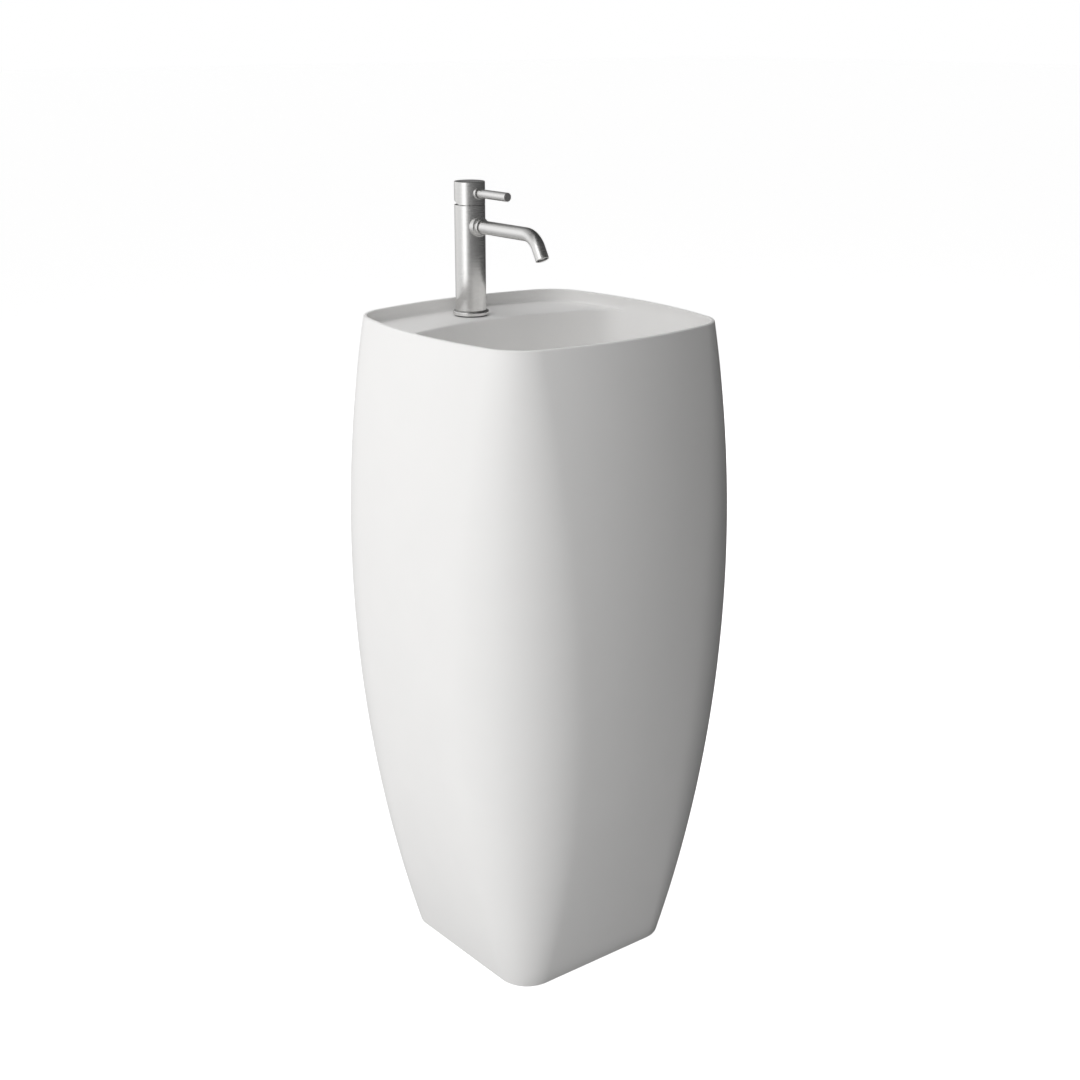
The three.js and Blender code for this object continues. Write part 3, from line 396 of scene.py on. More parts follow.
def mottle(nodes, links, bsdf, colour, spread, scale, roughness, rough_spread, vector):
    """Varies the colour and the roughness slightly with a noise."""
    noise = node(nodes, "ShaderNodeTexNoise", {"Scale": scale, "Detail": 4, "Roughness": 0.6})
    links.new(vector, noise.inputs["Vector"])
    ramp = node(nodes, "ShaderNodeValToRGB")
    ramp.color_ramp.elements[0].position, ramp.color_ramp.elements[1].position = 0.3, 0.7
    ramp.color_ramp.elements[0].color = (*[c * (1 - spread) for c in colour], 1)
    ramp.color_ramp.elements[1].color = (*[min(c * (1 + spread), 1) for c in colour], 1)
    links.new(noise.outputs["Fac"], ramp.inputs["Fac"])
    links.new(ramp.outputs["Color"], bsdf.inputs["Base Color"])
    rough = node(nodes, "ShaderNodeMapRange", {"To Min": roughness - rough_spread,
                                               "To Max": roughness + rough_spread})
    links.new(noise.outputs["Fac"], rough.inputs["Value"])
    links.new(rough.outputs["Result"], bsdf.inputs["Roughness"])
    return noise


def bump(nodes, links, bsdf, height, strength, distance):
    bumped = node(nodes, "ShaderNodeBump", {"Strength": strength, "Distance": distance})
    links.new(height, bumped.inputs["Height"])
    links.new(bumped.outputs["Normal"], bsdf.inputs["Normal"])


def plain(name, colour, roughness, metallic=0.0, spread=0.04, scale=60, grain=900, depth=0.02, **extra):
    """A solid material with a slight mottle and a fine surface grain."""
    material, nodes, links, bsdf = shader(name)
    bsdf.inputs["Metallic"].default_value = metallic
    for key, value in extra.items():
        bsdf.inputs[key.replace("_", " ")].default_value = value
    where = node(nodes, "ShaderNodeTexCoord").outputs["Object"]
    mottle(nodes, links, bsdf, colour, spread, scale, roughness, roughness * 0.12, where)
    fine = node(nodes, "ShaderNodeTexNoise", {"Scale": grain, "Detail": 3})
    links.new(where, fine.inputs["Vector"])
    bump(nodes, links, bsdf, fine.outputs["Fac"], 0.25, depth * MM)
    return material


def brushed(name, colour, roughness, anisotropy, spread, depth):
    """Metal with hair lines round each piece, along the grain map's first direction."""
    material, nodes, links, bsdf = shader(name)
    bsdf.inputs["Metallic"].default_value = 1
    bsdf.inputs["Anisotropic"].default_value = anisotropy
    grain = node(nodes, "ShaderNodeUVMap", uv_map="grain").outputs["UV"]
    stretch = node(nodes, "ShaderNodeMapping", {"Scale": (6, 9, 1)})
    links.new(grain, stretch.inputs["Vector"])
    lines = mottle(nodes, links, bsdf, colour, spread, 1, roughness, roughness * 0.15,
                   stretch.outputs["Vector"])
    bump(nodes, links, bsdf, lines.outputs["Fac"], 0.2, depth * MM)
    tangent = node(nodes, "ShaderNodeTangent", direction_type="UV_MAP", uv_map="grain")
    links.new(tangent.outputs["Tangent"], bsdf.inputs["Tangent"])
    return material


MATERIALS = {
    "casting": plain("casting", (0.875, 0.869, 0.859), 0.5, spread=0.006, scale=14, grain=1600,
                     depth=0.012),
    "brushed_steel": brushed("brushed_steel", (0.8, 0.795, 0.785), 0.27, 0.85, 0.05, 0.012),
    "polished_steel": plain("polished_steel", (0.72, 0.72, 0.72), 0.09, 1, spread=0.02, depth=0.004),
    "plain_steel": plain("plain_steel", (0.5, 0.5, 0.5), 0.36, 1),
    "brass": plain("brass", (0.68, 0.5, 0.22), 0.32, 1),
    "rubber": plain("rubber", (0.03, 0.03, 0.03), 0.75, spread=0.15, depth=0.05),
    "disc_ceramic": plain("disc_ceramic", (0.85, 0.83, 0.78), 0.15),
    "black_plastic": plain("black_plastic", (0.04, 0.04, 0.045), 0.45, spread=0.1, depth=0.03),
    "white_plastic": plain("white_plastic", (0.85, 0.85, 0.84), 0.35, spread=0.015),
}


def dress_cad_nodes():
    """Gives every CAD node its slot's material, but no brushed one, which needs a grain map."""
    for name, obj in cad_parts.items():
        slot = obj.data.materials[0].name.split(".")[0]
        obj.data.materials.clear()
        obj.data.materials.append(MATERIALS[slot if slot != "brushed_steel" else "plain_steel"])


# ---- camera, light and floor ------------------------------------------------------------------
CAMERA_PLACE = Vector((-1.3008, -1.6468, 1.2728))
CAMERA_TURN = (math.radians(72.032), 0, math.radians(-38.394))
CAMERA_LENS = 53.71


def set_camera():
    data = bpy.data.cameras.new("camera")
    data.lens, data.sensor_width = CAMERA_LENS, 36
    camera = bpy.data.objects.new("camera", data)
    camera.location, camera.rotation_euler = CAMERA_PLACE, CAMERA_TURN
    bpy.context.scene.collection.objects.link(camera)
    bpy.context.scene.camera = camera
    bpy.context.scene.view_settings.view_transform = "Standard"


def panel(name, centre, facing, size, radiance):
    """A soft rectangular light of a given radiance, hidden from the camera and from gloss."""
    data = bpy.data.lights.new(name, "AREA")
    data.shape, data.size, data.size_y = "RECTANGLE", *size
    data.energy = radiance * math.pi * size[0] * size[1]
    light = bpy.data.objects.new(name, data)
    light.location = centre
    light.rotation_euler = Vector(facing).to_track_quat("-Z", "Y").to_euler()
    light.visible_camera = light.visible_glossy = False
    bpy.context.scene.collection.objects.link(light)


MOST_RADIANCE = 4  # the radiance that a ramp's white stands for


def ramp_through(nodes, links, source, reach, span, stops, interpolation):
    """A curve of a source from -reach to reach, through (place from -span to span, value) stops."""
    share = node(nodes, "ShaderNodeMapRange", {"From Min": -reach, "From Max": reach})
    links.new(source, share.inputs["Value"])
    ramp = node(nodes, "ShaderNodeValToRGB")
    ramp.color_ramp.interpolation = interpolation
    elements = ramp.color_ramp.elements
    while len(elements) < len(stops):
        elements.new(0.5)
    for element, (place, value) in zip(elements, stops):
        element.position = (place + span) / (2 * span)
        element.color = (value, value, value, 1)
    links.new(share.outputs["Result"], ramp.inputs["Fac"])
    return ramp.outputs["Color"]


def reflected_world(nodes, links, where):
    """What the metal sees: a bright wall on the left, a dim room in front and on the right."""
    split = node(nodes, "ShaderNodeSeparateXYZ")
    links.new(where, split.inputs[0])
    turn = node(nodes, "ShaderNodeMath", operation="ARCTAN2")
    links.new(split.outputs["Y"], turn.inputs[0])
    links.new(split.outputs["X"], turn.inputs[1])
    # azimuth from -180 (left) over -90 (front), 0 (right) and 90 (rear) to 180, and the radiance
    around = [(-180, 1.2), (-168, 2.6), (-157, 2.2), (-149, 0.4), (-130, 0.22), (-100, 0.18),
              (-60, 0.14), (-10, 0.09), (40, 0.1), (72, 0.24), (96, 1.0), (125, 1.1),
              (160, 0.85), (180, 1.2)]
    around = [(azimuth, radiance / MOST_RADIANCE) for azimuth, radiance in around]
    # the share of it that is left by sine of the elevation, from straight down to straight up
    shares = [(-1, 0.4), (-0.45, 0.45), (-0.15, 0.8), (0.0, 1), (0.4, 1), (0.62, 0.55), (1, 0.3)]
    both = node(nodes, "ShaderNodeVectorMath", operation="MULTIPLY")
    ring = ramp_through(nodes, links, turn.outputs[0], math.pi, 180, around, "EASE")
    fade = ramp_through(nodes, links, split.outputs["Z"], 1, 1, shares, "LINEAR")
    links.new(ring, both.inputs[0])
    links.new(fade, both.inputs[1])
    return both.outputs[0]


def set_world():
    """White to the camera, the reflected world to glossy rays, and a dim room to the others."""
    world = bpy.data.worlds.new("world")
    bpy.context.scene.world = world
    world.use_nodes = True
    nodes, links = world.node_tree.nodes, world.node_tree.links
    nodes.clear()
    where = node(nodes, "ShaderNodeTexCoord").outputs["Generated"]
    path = node(nodes, "ShaderNodeLightPath")
    room = node(nodes, "ShaderNodeBackground", {"Color": (1, 1, 1, 1), "Strength": 0.08})
    sky = node(nodes, "ShaderNodeBackground", {"Color": (1, 1, 1, 1), "Strength": 1.0})
    gloss = node(nodes, "ShaderNodeBackground", {"Strength": MOST_RADIANCE})
    links.new(reflected_world(nodes, links, where), gloss.inputs["Color"])
    first, second = node(nodes, "ShaderNodeMixShader"), node(nodes, "ShaderNodeMixShader")
    links.new(path.outputs["Is Glossy Ray"], first.inputs["Fac"])
    links.new(room.outputs[0], first.inputs[1])
    links.new(gloss.outputs[0], first.inputs[2])
    links.new(path.outputs["Is Camera Ray"], second.inputs["Fac"])
    links.new(first.outputs[0], second.inputs[1])
    links.new(sky.outputs[0], second.inputs[2])
    links.new(second.outputs[0], node(nodes, "ShaderNodeOutputWorld").inputs["Surface"])


def set_floor():
    """A pale floor that only the camera sees, so that it throws no light back on the sink."""
    reach = 40
    corners = [(-reach, -reach, 0), (reach, -reach, 0), (reach, reach, 0), (-reach, reach, 0)]
    mesh = bpy.data.meshes.new("floor")
    mesh.from_pydata(corners, [], [(0, 1, 2, 3)])
    floor = bpy.data.objects.new("floor", mesh)
    bpy.context.scene.collection.objects.link(floor)
    material, nodes, links, bsdf = shader("floor")
    bsdf.inputs["Base Color"].default_value = (0.9, 0.9, 0.9, 1)
    bsdf.inputs["Roughness"].default_value = 0.9
    glow = node(nodes, "ShaderNodeEmission", {"Color": (1, 1, 1, 1), "Strength": 0.9})
    add = node(nodes, "ShaderNodeAddShader")
    links.new(bsdf.outputs[0], add.inputs[0])
    links.new(glow.outputs[0], add.inputs[1])
    links.new(add.outputs[0], nodes["Material Output"].inputs["Surface"])
    mesh.materials.append(material)
    floor.visible_diffuse = floor.visible_glossy = False


def set_lights():
    """A tall bright wall on the left, and weaker fills from above, behind and below."""
    panel("left_wall", (-0.424, 0.19, 1.13), (1, 0, 0), (2.42, 3.18), 0.93)
    panel("left_high", (-0.424, 0.52, 2.1), (1, 0, 0), (1.75, 1.2), 1.4)
    panel("overhead", (0.1, 0.3, 3.2), (0, 0, -1), (2.4, 2.4), 0.85)
    panel("rear_fill", (2.2, 2.6, 1.8), (-2.2, -2.6, -1.2), (2.2, 2.2), 2.5)
    panel("front_low", (0.3, -2.5, 0.2), (-0.1, 1, 0.05), (2, 0.6), 0.85)
    panel("floor_bounce", (0.05, -0.5, 0.005), (0, 0, 1), (1.3, 0.7), 0.12)


# ---- column and bowl --------------------------------------------------------------------------
QUARTER_TURN = math.pi / 2


def swept(start, end, steps):
    return start + (end - start) * np.arange(steps + 1) / steps


SHELL_LEVELS = 96
NECK_DROP = 130 * MM  # from the seat to where the wall has its full thickness


def column_shell():
    """The rings run up the outside, over the rim, down to the bowl's seat and down the inside."""
    rings = []

    def edge(z, inset, radius, start, end, steps=7):
        for angle in swept(start, end, steps):
            height = z + radius * math.sin(angle)
            rings.append(at_height(column_ring(height, inset + radius * math.cos(angle)), height))

    def level(z, inset):
        rings.append(at_height(column_ring(z, inset), z))

    edge(FOOT_ROUNDING, FOOT_ROUNDING, FOOT_ROUNDING, -QUARTER_TURN, -math.pi)
    top = HEIGHT - RIM_ROUNDING
    for i in range(1, SHELL_LEVELS):
        level(FOOT_ROUNDING + (top - FOOT_ROUNDING) * i / SHELL_LEVELS, 0)
    edge(top, RIM_ROUNDING, RIM_ROUNDING, math.pi, QUARTER_TURN)
    edge(top, RIM_WALL - RIM_ROUNDING, RIM_ROUNDING, QUARTER_TURN, 0)
    for z in (top - SEAM / 2, SEAT - SEAT_GAP):
        level(z, REBATE_WALL)
    level(SEAT - SEAT_GAP, SEAT_WALL)
    for z in np.linspace(SEAT - NECK_DROP, 0, 24):
        level(z, COLUMN_WALL)
    points = np.vstack(rings)
    faces = grid_faces(len(rings), len(rings[0]), True)
    return make("column_shell_fine", points, faces)


def bowl_table():
    """The bowl's rings at a range of insets, for bowl_ring to look up."""
    insets = np.arange(-8, 70, 2) * MM
    rings = np.array([ring_of(*bowl_parts(inset))[:, :2] for inset in insets])
    return insets, rings


INSETS, INSET_RINGS = bowl_table()


def bowl_ring(inset):
    """The bowl's edge moved inwards by inset, a number or one for each point."""
    inset = np.broadcast_to(inset, INSET_RINGS.shape[1])
    found = np.empty((len(inset), 2))
    for i, depth in enumerate(inset):
        found[i] = [np.interp(depth, INSETS, INSET_RINGS[:, i, k]) for k in (0, 1)]
    return found


def smooth(t):
    t = np.clip(t, 0, 1)
    return t * t * (3 - 2 * t)


def wall_lean(z):
    """How far the rim's inner face stands in from where it meets the deck, at height z."""
    return half_width(DECK) - half_width(z)


FLOW_REACH = 8 * MM  # half the length of the bend between the rim's face and the bowl's wall
LEAN_SPAN = 10 * MM  # the height over which the rim's lean is taken


def flowing_profile(depth):
    """Inward place of the wall where no deck parts it from the bowl, by depth below the deck."""
    lean = wall_lean(DECK + LEAN_SPAN) / LEAN_SPAN
    draft = math.tan(BOWL_DRAFT)
    crossing = -BOWL_LIP / (lean + draft)
    t = (depth - crossing) / FLOW_REACH
    if t <= -1:
        return -lean * depth
    if t >= 1:
        return BOWL_LIP + draft * depth
    # a parabola that leaves the rim's face and joins the bowl's wall
    return -lean * depth + (lean + draft) * FLOW_REACH * (t + 1) ** 2 / 4


LEDGE_STEPS = (5, 7, 9, 8)  # down the rim's face, round the fillet, over the deck, round the edge
LEDGE_END = 8 * MM  # depth where the bowl's wall is the same with and without a deck
DECK_FILLET = 4 * MM  # between the rim's face and the deck
DECK_NOSE = 3.5 * MM  # round the deck's front edge
ROUND_SHARE = 0.35  # the most that each of the two takes of the deck's width
FADE_LEAD = 22 * MM  # how far before the side's end the deck starts to grow
FADE_LENGTH = 60 * MM
MEET_ABOVE = 4 * MM  # height over the deck from which the rim's face turns to the bowl's wall


def bowl_top_rings():
    """From the rim down to LEDGE_END, over the deck behind and straight into the bowl in front."""
    rim = column_ring(DECK, RIM_WALL)
    edge = bowl_ring(0)
    gap = np.linalg.norm(edge - rim[:, :2], axis=1)
    fillet = np.minimum(DECK_FILLET, ROUND_SHARE * gap)
    nose = np.minimum(DECK_NOSE, ROUND_SHARE * gap)
    count = len(rim)
    # share of the ledge: 0 in front, 1 where the deck is wide
    half = count // 2
    steps = np.linalg.norm(np.diff(rim[: half + 1, :2], axis=0), axis=1)
    run = np.concatenate([[0], np.cumsum(steps)])
    start = run[FRONT_STEPS + CORNER_STEPS + SIDE_STEPS]
    share = smooth((run - start + FADE_LEAD) / FADE_LENGTH)
    share = np.concatenate([share, share[1:-1][::-1]])
    top = HEIGHT - RIM_ROUNDING - SEAM

    ledge = []
    down, round_in, across, over = LEDGE_STEPS
    for t in even(down):
        z = top + (DECK + fillet - top) * t
        ledge.append((column_ring(DECK + (top - DECK) * (1 - t), RIM_WALL)[:, :2], z))
    for angle in swept(0, QUARTER_TURN, round_in)[:-1]:
        reach = fillet * (1 - math.cos(angle))
        z = DECK + fillet * (1 - math.sin(angle))
        lean = np.array([wall_lean(h) for h in z])
        ring = rim[:, :2] + rim[:, 2:] * (reach + lean * (1 - math.sin(angle)))[:, None]
        ledge.append((ring, z))
    turn = QUARTER_TURN - BOWL_DRAFT
    tangent = nose * math.tan(turn / 2)
    inner = bowl_ring(-tangent)
    outer = rim[:, :2] + rim[:, 2:] * fillet[:, None]
    for t in even(across):
        ledge.append((outer + (inner - outer) * t, np.full(count, DECK)))
    for angle in swept(QUARTER_TURN, BOWL_DRAFT, over):
        inset = -tangent + nose * math.cos(angle)
        ledge.append((bowl_ring(inset), DECK - nose + nose * math.sin(angle)))
    ledge.append((bowl_ring(LEDGE_END * math.tan(BOWL_DRAFT)), np.full(count, DECK - LEDGE_END)))

    rings = []
    for k, (ring, z) in enumerate(ledge):
        t = k / (len(ledge) - 1)
        level = top + (DECK - LEDGE_END - top) * t
        depth = DECK - level
        wall = column_ring(max(level, DECK), RIM_WALL)
        lean = wall_lean(max(level, DECK))
        flow = wall[:, :2] + wall[:, 2:] * (flowing_profile(depth) - lean)
        meet = smooth((depth + MEET_ABOVE) / (MEET_ABOVE + LEDGE_END))
        flow = flow * (1 - meet) + bowl_ring(flowing_profile(depth) - BOWL_LIP) * meet
        xy = flow * (1 - share[:, None]) + ring * share[:, None]
        rings.append(np.column_stack([xy, level * (1 - share) + z * share]))
    return rings


def circle_like(ring, radius, z):
    """A circle about the drain, with a point in the direction of each of the ring's."""
    angles = np.arctan2(ring[:, 1] - DRAIN.y, ring[:, 0])
    x, y = radius * np.cos(angles), DRAIN.y + radius * np.sin(angles)
    return np.column_stack([x, y, np.full(len(x), z)])


def bowl_low_rings():
    """From below the edge down the wall, round the floor's fillet and over the floor."""
    floor = DRAIN.z + FLOOR_FALL
    centre_z = floor + FLOOR_FILLET
    contact_z = centre_z - FLOOR_FILLET * math.sin(BOWL_DRAFT)
    contact = (DECK - contact_z) * math.tan(BOWL_DRAFT)
    centre = contact + FLOOR_FILLET * math.cos(BOWL_DRAFT)
    rings = []
    wall_steps, fillet_steps, floor_steps = 12, 16, 14
    for t in range(1, wall_steps):
        z = DECK - LEDGE_END + (contact_z - DECK + LEDGE_END) * t / wall_steps
        ring = bowl_ring((DECK - z) * math.tan(BOWL_DRAFT))
        rings.append(np.column_stack([ring, np.full(len(ring), z)]))
    for angle in swept(math.pi + BOWL_DRAFT, 1.5 * math.pi, fillet_steps):
        ring = bowl_ring(centre + FLOOR_FILLET * math.cos(angle))
        z = centre_z + FLOOR_FILLET * math.sin(angle)
        rings.append(np.column_stack([ring, np.full(len(ring), z)]))
    foot = rings[-1]
    drain = circle_like(foot, DRAIN_RADIUS, floor)[:, :2]
    for t in swept(0, 1, floor_steps)[1:]:
        xy = foot[:, :2] + (drain - foot[:, :2]) * t
        z = floor - FLOOR_FALL * t * t
        rings.append(np.column_stack([xy, np.full(len(xy), z)]))
    return rings


def offset_rings(rings, depth):
    """Rings moved behind their surface by depth, along its normals."""
    grid = np.array(rings)
    down = np.gradient(grid, axis=0)
    along = np.roll(grid, -1, axis=1) - np.roll(grid, 1, axis=1)
    normal = np.cross(along, down)
    normal /= np.maximum(np.linalg.norm(normal, axis=2), 1e-12)[:, :, None]
    return list(grid - normal * depth)


DRAIN_HOLE, DRAIN_FLAT = 21 * MM, 30 * MM  # radii of the waste's hole and of a ring on its seat
BOSS_RADIUS, BOSS_HEIGHT = 36 * MM, 12 * MM  # under the drain, where the waste is clamped
TAP_HOLE = 17.5


def basin_bowl():
    """The deck and bowl, then the drain's hole and boss, the wall's back and the slab's edge."""
    low_rings = bowl_low_rings()
    rings = bowl_top_rings() + low_rings
    boss_bottom = DRAIN.z - BOSS_HEIGHT
    last = rings[-1]
    rings += [circle_like(last, r, DRAIN.z) for r in (DRAIN_FLAT, DRAIN_HOLE)]
    rings += [circle_like(last, r, boss_bottom) for r in (DRAIN_HOLE, BOSS_RADIUS)]
    behind = offset_rings(low_rings, BOWL_WALL)
    behind = [ring for ring in behind if ring[0][2] < SEAT - 2 * MM]
    rings += behind[::-1]
    slab = behind[0].copy()
    slab[:, 2] = SEAT
    rings.append(slab)
    for z in (SEAT, (SEAT + HEIGHT) / 2, HEIGHT - RIM_ROUNDING - SEAM):
        wall = column_ring(z, RIM_WALL - LIP_THICKNESS)
        rings.append(at_height(wall, z))
    bowl = make("basin_bowl_fine", np.vstack(rings), grid_faces(len(rings), len(rings[0]), True))
    return combine(bowl, [drill(TAP_HOLE, -40, 60, TAP)])


# ---- tap --------------------------------------------------------------------------------------
# In this section and the next, sizes are in millimetres unless MM stands beside them.
R = TAP_RADIUS / MM
TAP_BORE = 16.8  # over the mounting shank
CHAMBER_RADIUS, CHAMBER_DEPTH = 15.2, 18.9  # for the cartridge, in the body's top
SPOUT_RADIUS, SPOUT_WALL = 9, 1.5
SPOUT_Z = high("spout_collar").z - 13.5 * MM
SPOUT_STRAIGHT = 124
SPOUT_BEND_RADIUS = 30
SPOUT_BEND = math.radians(60)
SPOUT_TIP = 17
LEVER_Z = high("lever_rod").z - 5.9 * MM
RELIEF = math.radians(20)
RELIEF_START = 4  # in front of the axis
RELIEF_FADE = 14  # height over which the relief dies out up the cap
SCREW_RISE = 19.5  # of the grub screw above the pivot
FIT = 0.3  # between a turned piece and what it stands in or on


def above(level):
    """A height above the tap body's base in millimetres, from one above the floor in metres."""
    return (level - TAP.z) / MM


def tap_body():
    top = above(high("tap_body").z)
    socket, chamber = 9.7, top - CHAMBER_DEPTH
    body = turned("tap_body_fine", [
        (0, socket, 0), (TAP_BORE, socket, 0), (TAP_BORE, 0, 0.3), (R, 0, 0.4), (R, top, 0.8),
        (CHAMBER_RADIUS, top, 0.3), (CHAMBER_RADIUS, chamber, 0), (0, chamber, 0),
    ], looped=False)
    placed(body, TAP)
    return combine(body, [drill(SPOUT_RADIUS + FIT, 13.7, 30, (0, TAP.y, SPOUT_Z), 0)])


def base_flange():
    bottom, top = above(low("base_flange").z), above(high("base_flange").z)
    r = high("base_flange").x / MM
    return placed(turned("base_flange_fine", [
        (TAP_BORE, bottom, 0), (r, bottom, 0.5), (r, top, 2.4), (TAP_BORE, top, 0.3),
    ], steps=8), TAP)


def base_gasket():
    bottom, top = above(low("base_gasket").z), above(high("base_gasket").z)
    return placed(turned("base_gasket_fine", [
        (TAP_BORE, bottom, 0), (23, bottom, 0.2), (23, top, 0.2), (TAP_BORE, top, 0),
    ]), TAP)


def wrapped(radius, root):
    """Moves a laid ring's root back onto a cylinder of radius that stands across it."""
    def shape(x, y, z):
        if z > root + 0.01:
            return x, y, z
        return x, y, math.sqrt(max(radius**2 - x * x, 0))
    return shape


def spout_collar():
    root = R - 6
    bore, wide, narrow = SPOUT_RADIUS + FIT, 13.5, 11
    collar = turned("spout_collar_fine", [
        (bore, root, 0), (wide, root, 0), (wide, R + 3.6, 1.1), (narrow, R + 3.6, 0.5),
        (narrow, R + 9.4, 0.8), (bore, R + 9.4, 0.25),
    ], shape=wrapped(R + FIT, root))
    return placed(collar, (0, TAP.y, SPOUT_Z), 0)


def spout_stations():
    """(forward, up, tilt) of the spout's sections, in millimetres, from the tap's axis."""
    stations = [(x, 0, 0) for x in np.linspace(14, SPOUT_STRAIGHT, 24)]
    for tilt in swept(0, SPOUT_BEND, 22)[1:]:
        forward = SPOUT_STRAIGHT + SPOUT_BEND_RADIUS * math.sin(tilt)
        stations.append((forward, -SPOUT_BEND_RADIUS * (1 - math.cos(tilt)), tilt))
    x, z, tilt = stations[-1]
    for reach in np.linspace(0, SPOUT_TIP, 7)[1:]:
        stations.append((x + reach * math.cos(tilt), z - reach * math.sin(tilt), tilt))
    return stations


def spout_tube():
    stations = spout_stations()
    sections = [(s, SPOUT_RADIUS, 0) for s in stations[:-1]]
    end, lip = stations[-1], 0.45
    middle_radius = SPOUT_RADIUS - SPOUT_WALL / 2
    for angle in swept(0, math.pi, 8):
        reach = lip * math.sin(angle) - lip
        sections.append((end, middle_radius + (SPOUT_WALL / 2) * math.cos(angle), reach))
    sections += [(s, SPOUT_RADIUS - SPOUT_WALL, 0) for s in stations[-2::-1]]
    sides = 72
    points, grain, length = [], [], 0
    previous = None
    for (x, z, tilt), radius, reach in sections:
        x, z = x + reach * math.cos(tilt), z - reach * math.sin(tilt)
        here = Vector((x, z, radius))
        length += (here - previous).length if previous else 0
        previous = here
        for i in range(sides):
            angle = 2 * math.pi * i / sides
            lift = radius * math.cos(angle)
            points.append((radius * math.sin(angle), -(x + lift * math.sin(tilt)),
                           z + lift * math.cos(tilt)))
            grain.append((i / sides, length))
    faces = grid_faces(len(sections), sides, True)
    tube = make("spout_tube_fine", np.array(points) * MM, faces, grain)
    tube.data.transform(Matrix.Translation((0, TAP.y, SPOUT_Z)))
    return tube


def at_mouth(obj):
    x, z, tilt = spout_stations()[-1]
    return placed(obj, (0, TAP.y - x * MM, SPOUT_Z + z * MM), tilt)


def aerator_housing():
    bore = SPOUT_RADIUS - SPOUT_WALL
    return at_mouth(turned("aerator_housing_fine", [
        (bore - 1.5, -12.6, 0), (bore - 0.3, -12.6, 0), (bore - 0.3, -1.6, 0.3),
        (bore - 1.5, -1.6, 0.3),
    ], 64))


def aerator_insert():
    front = -2.2
    radius = SPOUT_RADIUS - SPOUT_WALL - 1.8
    insert = turned("aerator_insert_fine", [
        (0, front - 9, 0), (radius - 1.6, front - 9, 0), (radius - 1.6, front - 2, 0),
        (radius, front - 2, 0), (radius, front, 0.3), (0, front, 0),
    ], 64, looped=False)
    circle = 2.6 * MM
    jets = []
    for i in range(6):
        angle = math.radians(60 * i)
        place = (circle * math.cos(angle), circle * math.sin(angle), 0)
        jets.append(drill(0.5, front - 12, front + 1, place, sides=16))
    return at_mouth(combine(insert, jets))


def behind_cap(obj):
    """Lays a piece along +Y from the cap's axis, at the grub screw's height."""
    start = Vector((0, TAP.y, PIVOT + SCREW_RISE * MM))
    obj.data.transform(Matrix.Translation(start) @ Matrix.Rotation(-math.pi / 2, 4, "X"))
    return obj


def handle_cap():
    top, skirt = ((level - PIVOT) / MM for level in (high("handle_cap").z, SKIRT))
    cavity, bore = 13.5, 17.3

    def relieved(x, y, z):
        """The rear of the lower edge rises, so that the cap can tilt back."""
        rise = max(y + RELIEF_START, 0) * math.tan(RELIEF)
        return x, y, z + rise * max(1 - max(z - skirt - 1, 0) / RELIEF_FADE, 0)

    cap = turned("handle_cap_fine", [
        (0, cavity, 0), (bore, cavity, 0), (bore, skirt, 0.2), (R, skirt, 0.3), (R, top, 1.3),
        (0, top, 0),
    ], steps=6, looped=False, shape=relieved)
    axis = Vector((0, TAP.y, PIVOT))
    placed(cap, axis)
    hole = behind_cap(drill(2.3, 0, R + 1, sides=32))
    lever = drill(6.2, 15, R + 1, (0, TAP.y, LEVER_Z), 0)
    socket = drill(2.9, cavity - 1, cavity + 10.8, axis)
    return combine(cap, [hole, lever, socket])


def lever_rod():
    reach = (TAP.y - low("lever_rod").y) / MM
    rod = turned("lever_rod_fine", [
        (0, 15.3, 0), (5.9, 15.3, 0.3), (5.9, reach, 0.55), (0, reach, 0),
    ], 72, looped=False)
    return placed(rod, (0, TAP.y, LEVER_Z), 0)


def lever_collar():
    root = R - 3
    face = (TAP.y - low("lever_collar").y) / MM
    collar = turned("lever_collar_fine", [
        (6.2, root, 0), (8.2, root, 0), (8.2, face, 0.9), (6.2, face, 0.2),
    ], 72, shape=wrapped(R + FIT, root))
    return placed(collar, (0, TAP.y, LEVER_Z), 0)


def grub_screw():
    screw = turned("grub_screw_fine", [
        (0, 3, 0), (2, 3, 0.3), (2, 14.9, 0.35), (0, 14.9, 0),
    ], 48, looped=False)
    key = drill(1.05, 12.6, 16, sides=6)
    return behind_cap(combine(screw, [key]))


def cartridge_nut():
    """The dome under the cap, about the pivot."""
    dome = 16.6
    shelf = (high("tap_body").z - PIVOT) / MM + FIT
    top = (high("cartridge_nut").z - PIVOT) / MM
    foot = (low("cartridge_nut").z - PIVOT) / MM
    start, end = math.asin(shelf / dome), math.asin(top / dome)
    arc = [(dome * math.cos(a), dome * math.sin(a), 0) for a in swept(start, end, 14)]
    bore = high("cartridge_housing").x / MM - 1.6
    return placed(turned("cartridge_nut_fine", [
        (bore, foot, 0), (14.9, foot, 0.2), (14.9, shelf, 0), *arc, (bore, top, 0),
    ]), (0, TAP.y, PIVOT))


# ---- waste ------------------------------------------------------------------------------------
WASTE_BORE, WASTE_RADIUS, FLANGE_RADIUS = 17.8, 20.7, 32


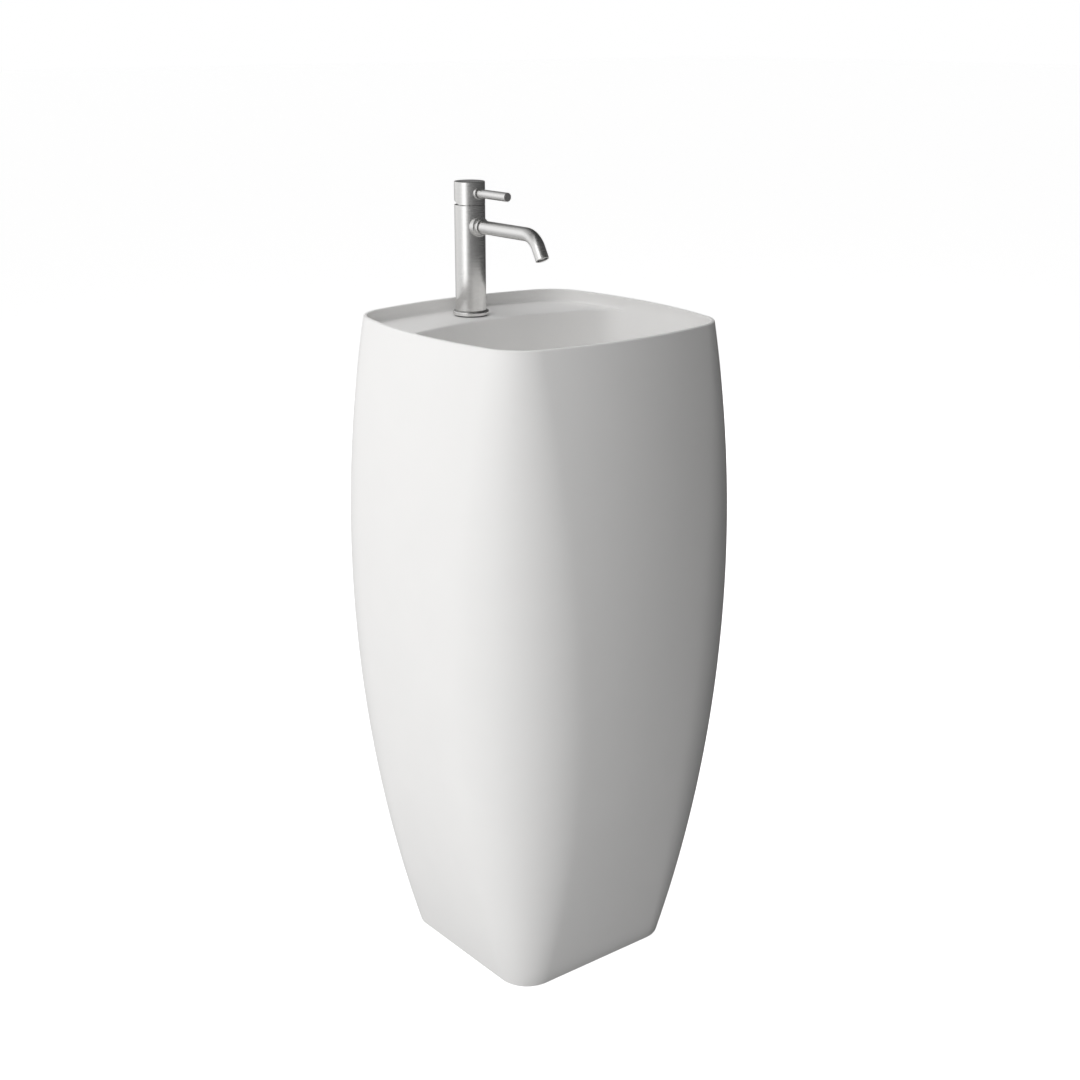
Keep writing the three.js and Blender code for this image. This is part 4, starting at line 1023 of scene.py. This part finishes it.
def waste_flange():
    """The waste's flanged tube, with a hub for the plug's stem on three spokes."""
    top = high("waste_body").z
    seat = -2.5
    length = (top - low("waste_body").z) / MM
    tube = turned("waste_body_fine", [
        (WASTE_BORE, -length, 0.3), (WASTE_RADIUS, -length, 0.4), (WASTE_RADIUS, seat, 0),
        (FLANGE_RADIUS, seat, 0.3), (FLANGE_RADIUS - 0.8, 0, 1.1), (WASTE_BORE, 0, 0.8),
    ])
    hub = turned("hub", [(3.4, -29, 0.2), (7, -29, 0.5), (7, -23, 0.5), (3.4, -23, 0.2)], 48)
    spokes = []
    for i in range(3):
        bpy.ops.mesh.primitive_cube_add(size=1)
        spoke = bpy.context.object
        spoke.data.transform(Matrix.Diagonal((14 * MM, 3 * MM, 5.6 * MM, 1)))
        spoke.data.transform(Matrix.Translation((12 * MM, 0, -26 * MM)))
        spoke.data.transform(Matrix.Rotation(math.radians(120 * i + 90), 4, "Z"))
        spokes.append(spoke)
    combine(tube, [hub, *spokes], "UNION")
    return placed(tube, (DRAIN.x, DRAIN.y, top))


def waste_plug():
    base = low("waste_plug").z + 2 * MM
    crown = (high("waste_plug").z - base) / MM
    r, rim, edge = high("waste_plug").x / MM, 2.2, 0.9
    dome = []
    for t in swept(0, 1, 14):
        radius = (r - edge) * (1 - t)
        dome.append((radius, rim + (crown - rim) * (1 - (radius / r) ** 2), 0))
    plug = turned("waste_plug_fine", [
        (0, -2, 0), (9, -2, 0.3), (9, 0, 0), (r, 0, 0.4), (r, rim, 0.7), *dome,
    ], looped=False)
    return placed(combine(plug, [drill(3.3, -3, 2.9)]), (DRAIN.x, DRAIN.y, base))


SPRING_WIRE, SPRING_COIL, SPRING_TURNS = 0.7, 6.2, 4


def plug_spring():
    """A coil between the waste's hub and the plug."""
    per_turn, sides = 40, 14
    start, end = ((level - DRAIN.z) / MM for level in (low("plug_spring").z, high("plug_spring").z))
    start, end = start + SPRING_WIRE, end - SPRING_WIRE
    count = SPRING_TURNS * per_turn + 1
    points = []
    for i in range(count):
        angle = 2 * math.pi * i / per_turn
        z = start + (end - start) * i / (count - 1)
        for k in range(sides):
            turn = 2 * math.pi * k / sides
            r = SPRING_COIL + SPRING_WIRE * math.cos(turn)
            points.append((r * math.cos(angle), r * math.sin(angle), z + SPRING_WIRE * math.sin(turn)))
    last = (count - 1) * sides
    ends = [tuple(range(sides)), tuple(range(last, last + sides))]
    faces = grid_faces(count, sides, False) + ends
    return placed(make("plug_spring_fine", np.array(points) * MM, faces), DRAIN)


def pressed(spring):
    """Gives the spring its own copy of its mesh."""
    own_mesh(spring)


# ---- assembly ---------------------------------------------------------------------------------
set_camera()
set_world()
set_lights()
set_floor()
dress_cad_nodes()

finished(column_shell(), "basin", "casting", "column_shell")
finished(basin_bowl(), "basin", "casting", "basin_bowl")

finished(base_flange(), "basin", "brushed_steel", "base_flange")
finished(base_gasket(), "basin", "rubber", "base_gasket")
finished(tap_body(), "basin", "brushed_steel", "tap_body")
finished(spout_collar(), "basin", "brushed_steel", "spout_collar")
finished(spout_tube(), "basin", "brushed_steel", "spout_tube")
finished(aerator_housing(), "basin", "black_plastic", "aerator_housing")
finished(aerator_insert(), "basin", "white_plastic", "aerator_insert")
finished(cartridge_nut(), "basin", "polished_steel", "cartridge_nut")
finished(handle_cap(), "handle", "brushed_steel", "handle_cap")
finished(lever_rod(), "handle", "brushed_steel", "lever_rod")
finished(lever_collar(), "handle", "brushed_steel", "lever_collar")
finished(grub_screw(), "handle", "plain_steel", "grub_screw")
finished(waste_flange(), "basin", "polished_steel", "waste_body")
finished(waste_plug(), "plug", "polished_steel", "waste_plug")
pressed(finished(plug_spring(), "basin", "plain_steel", "plug_spring"))
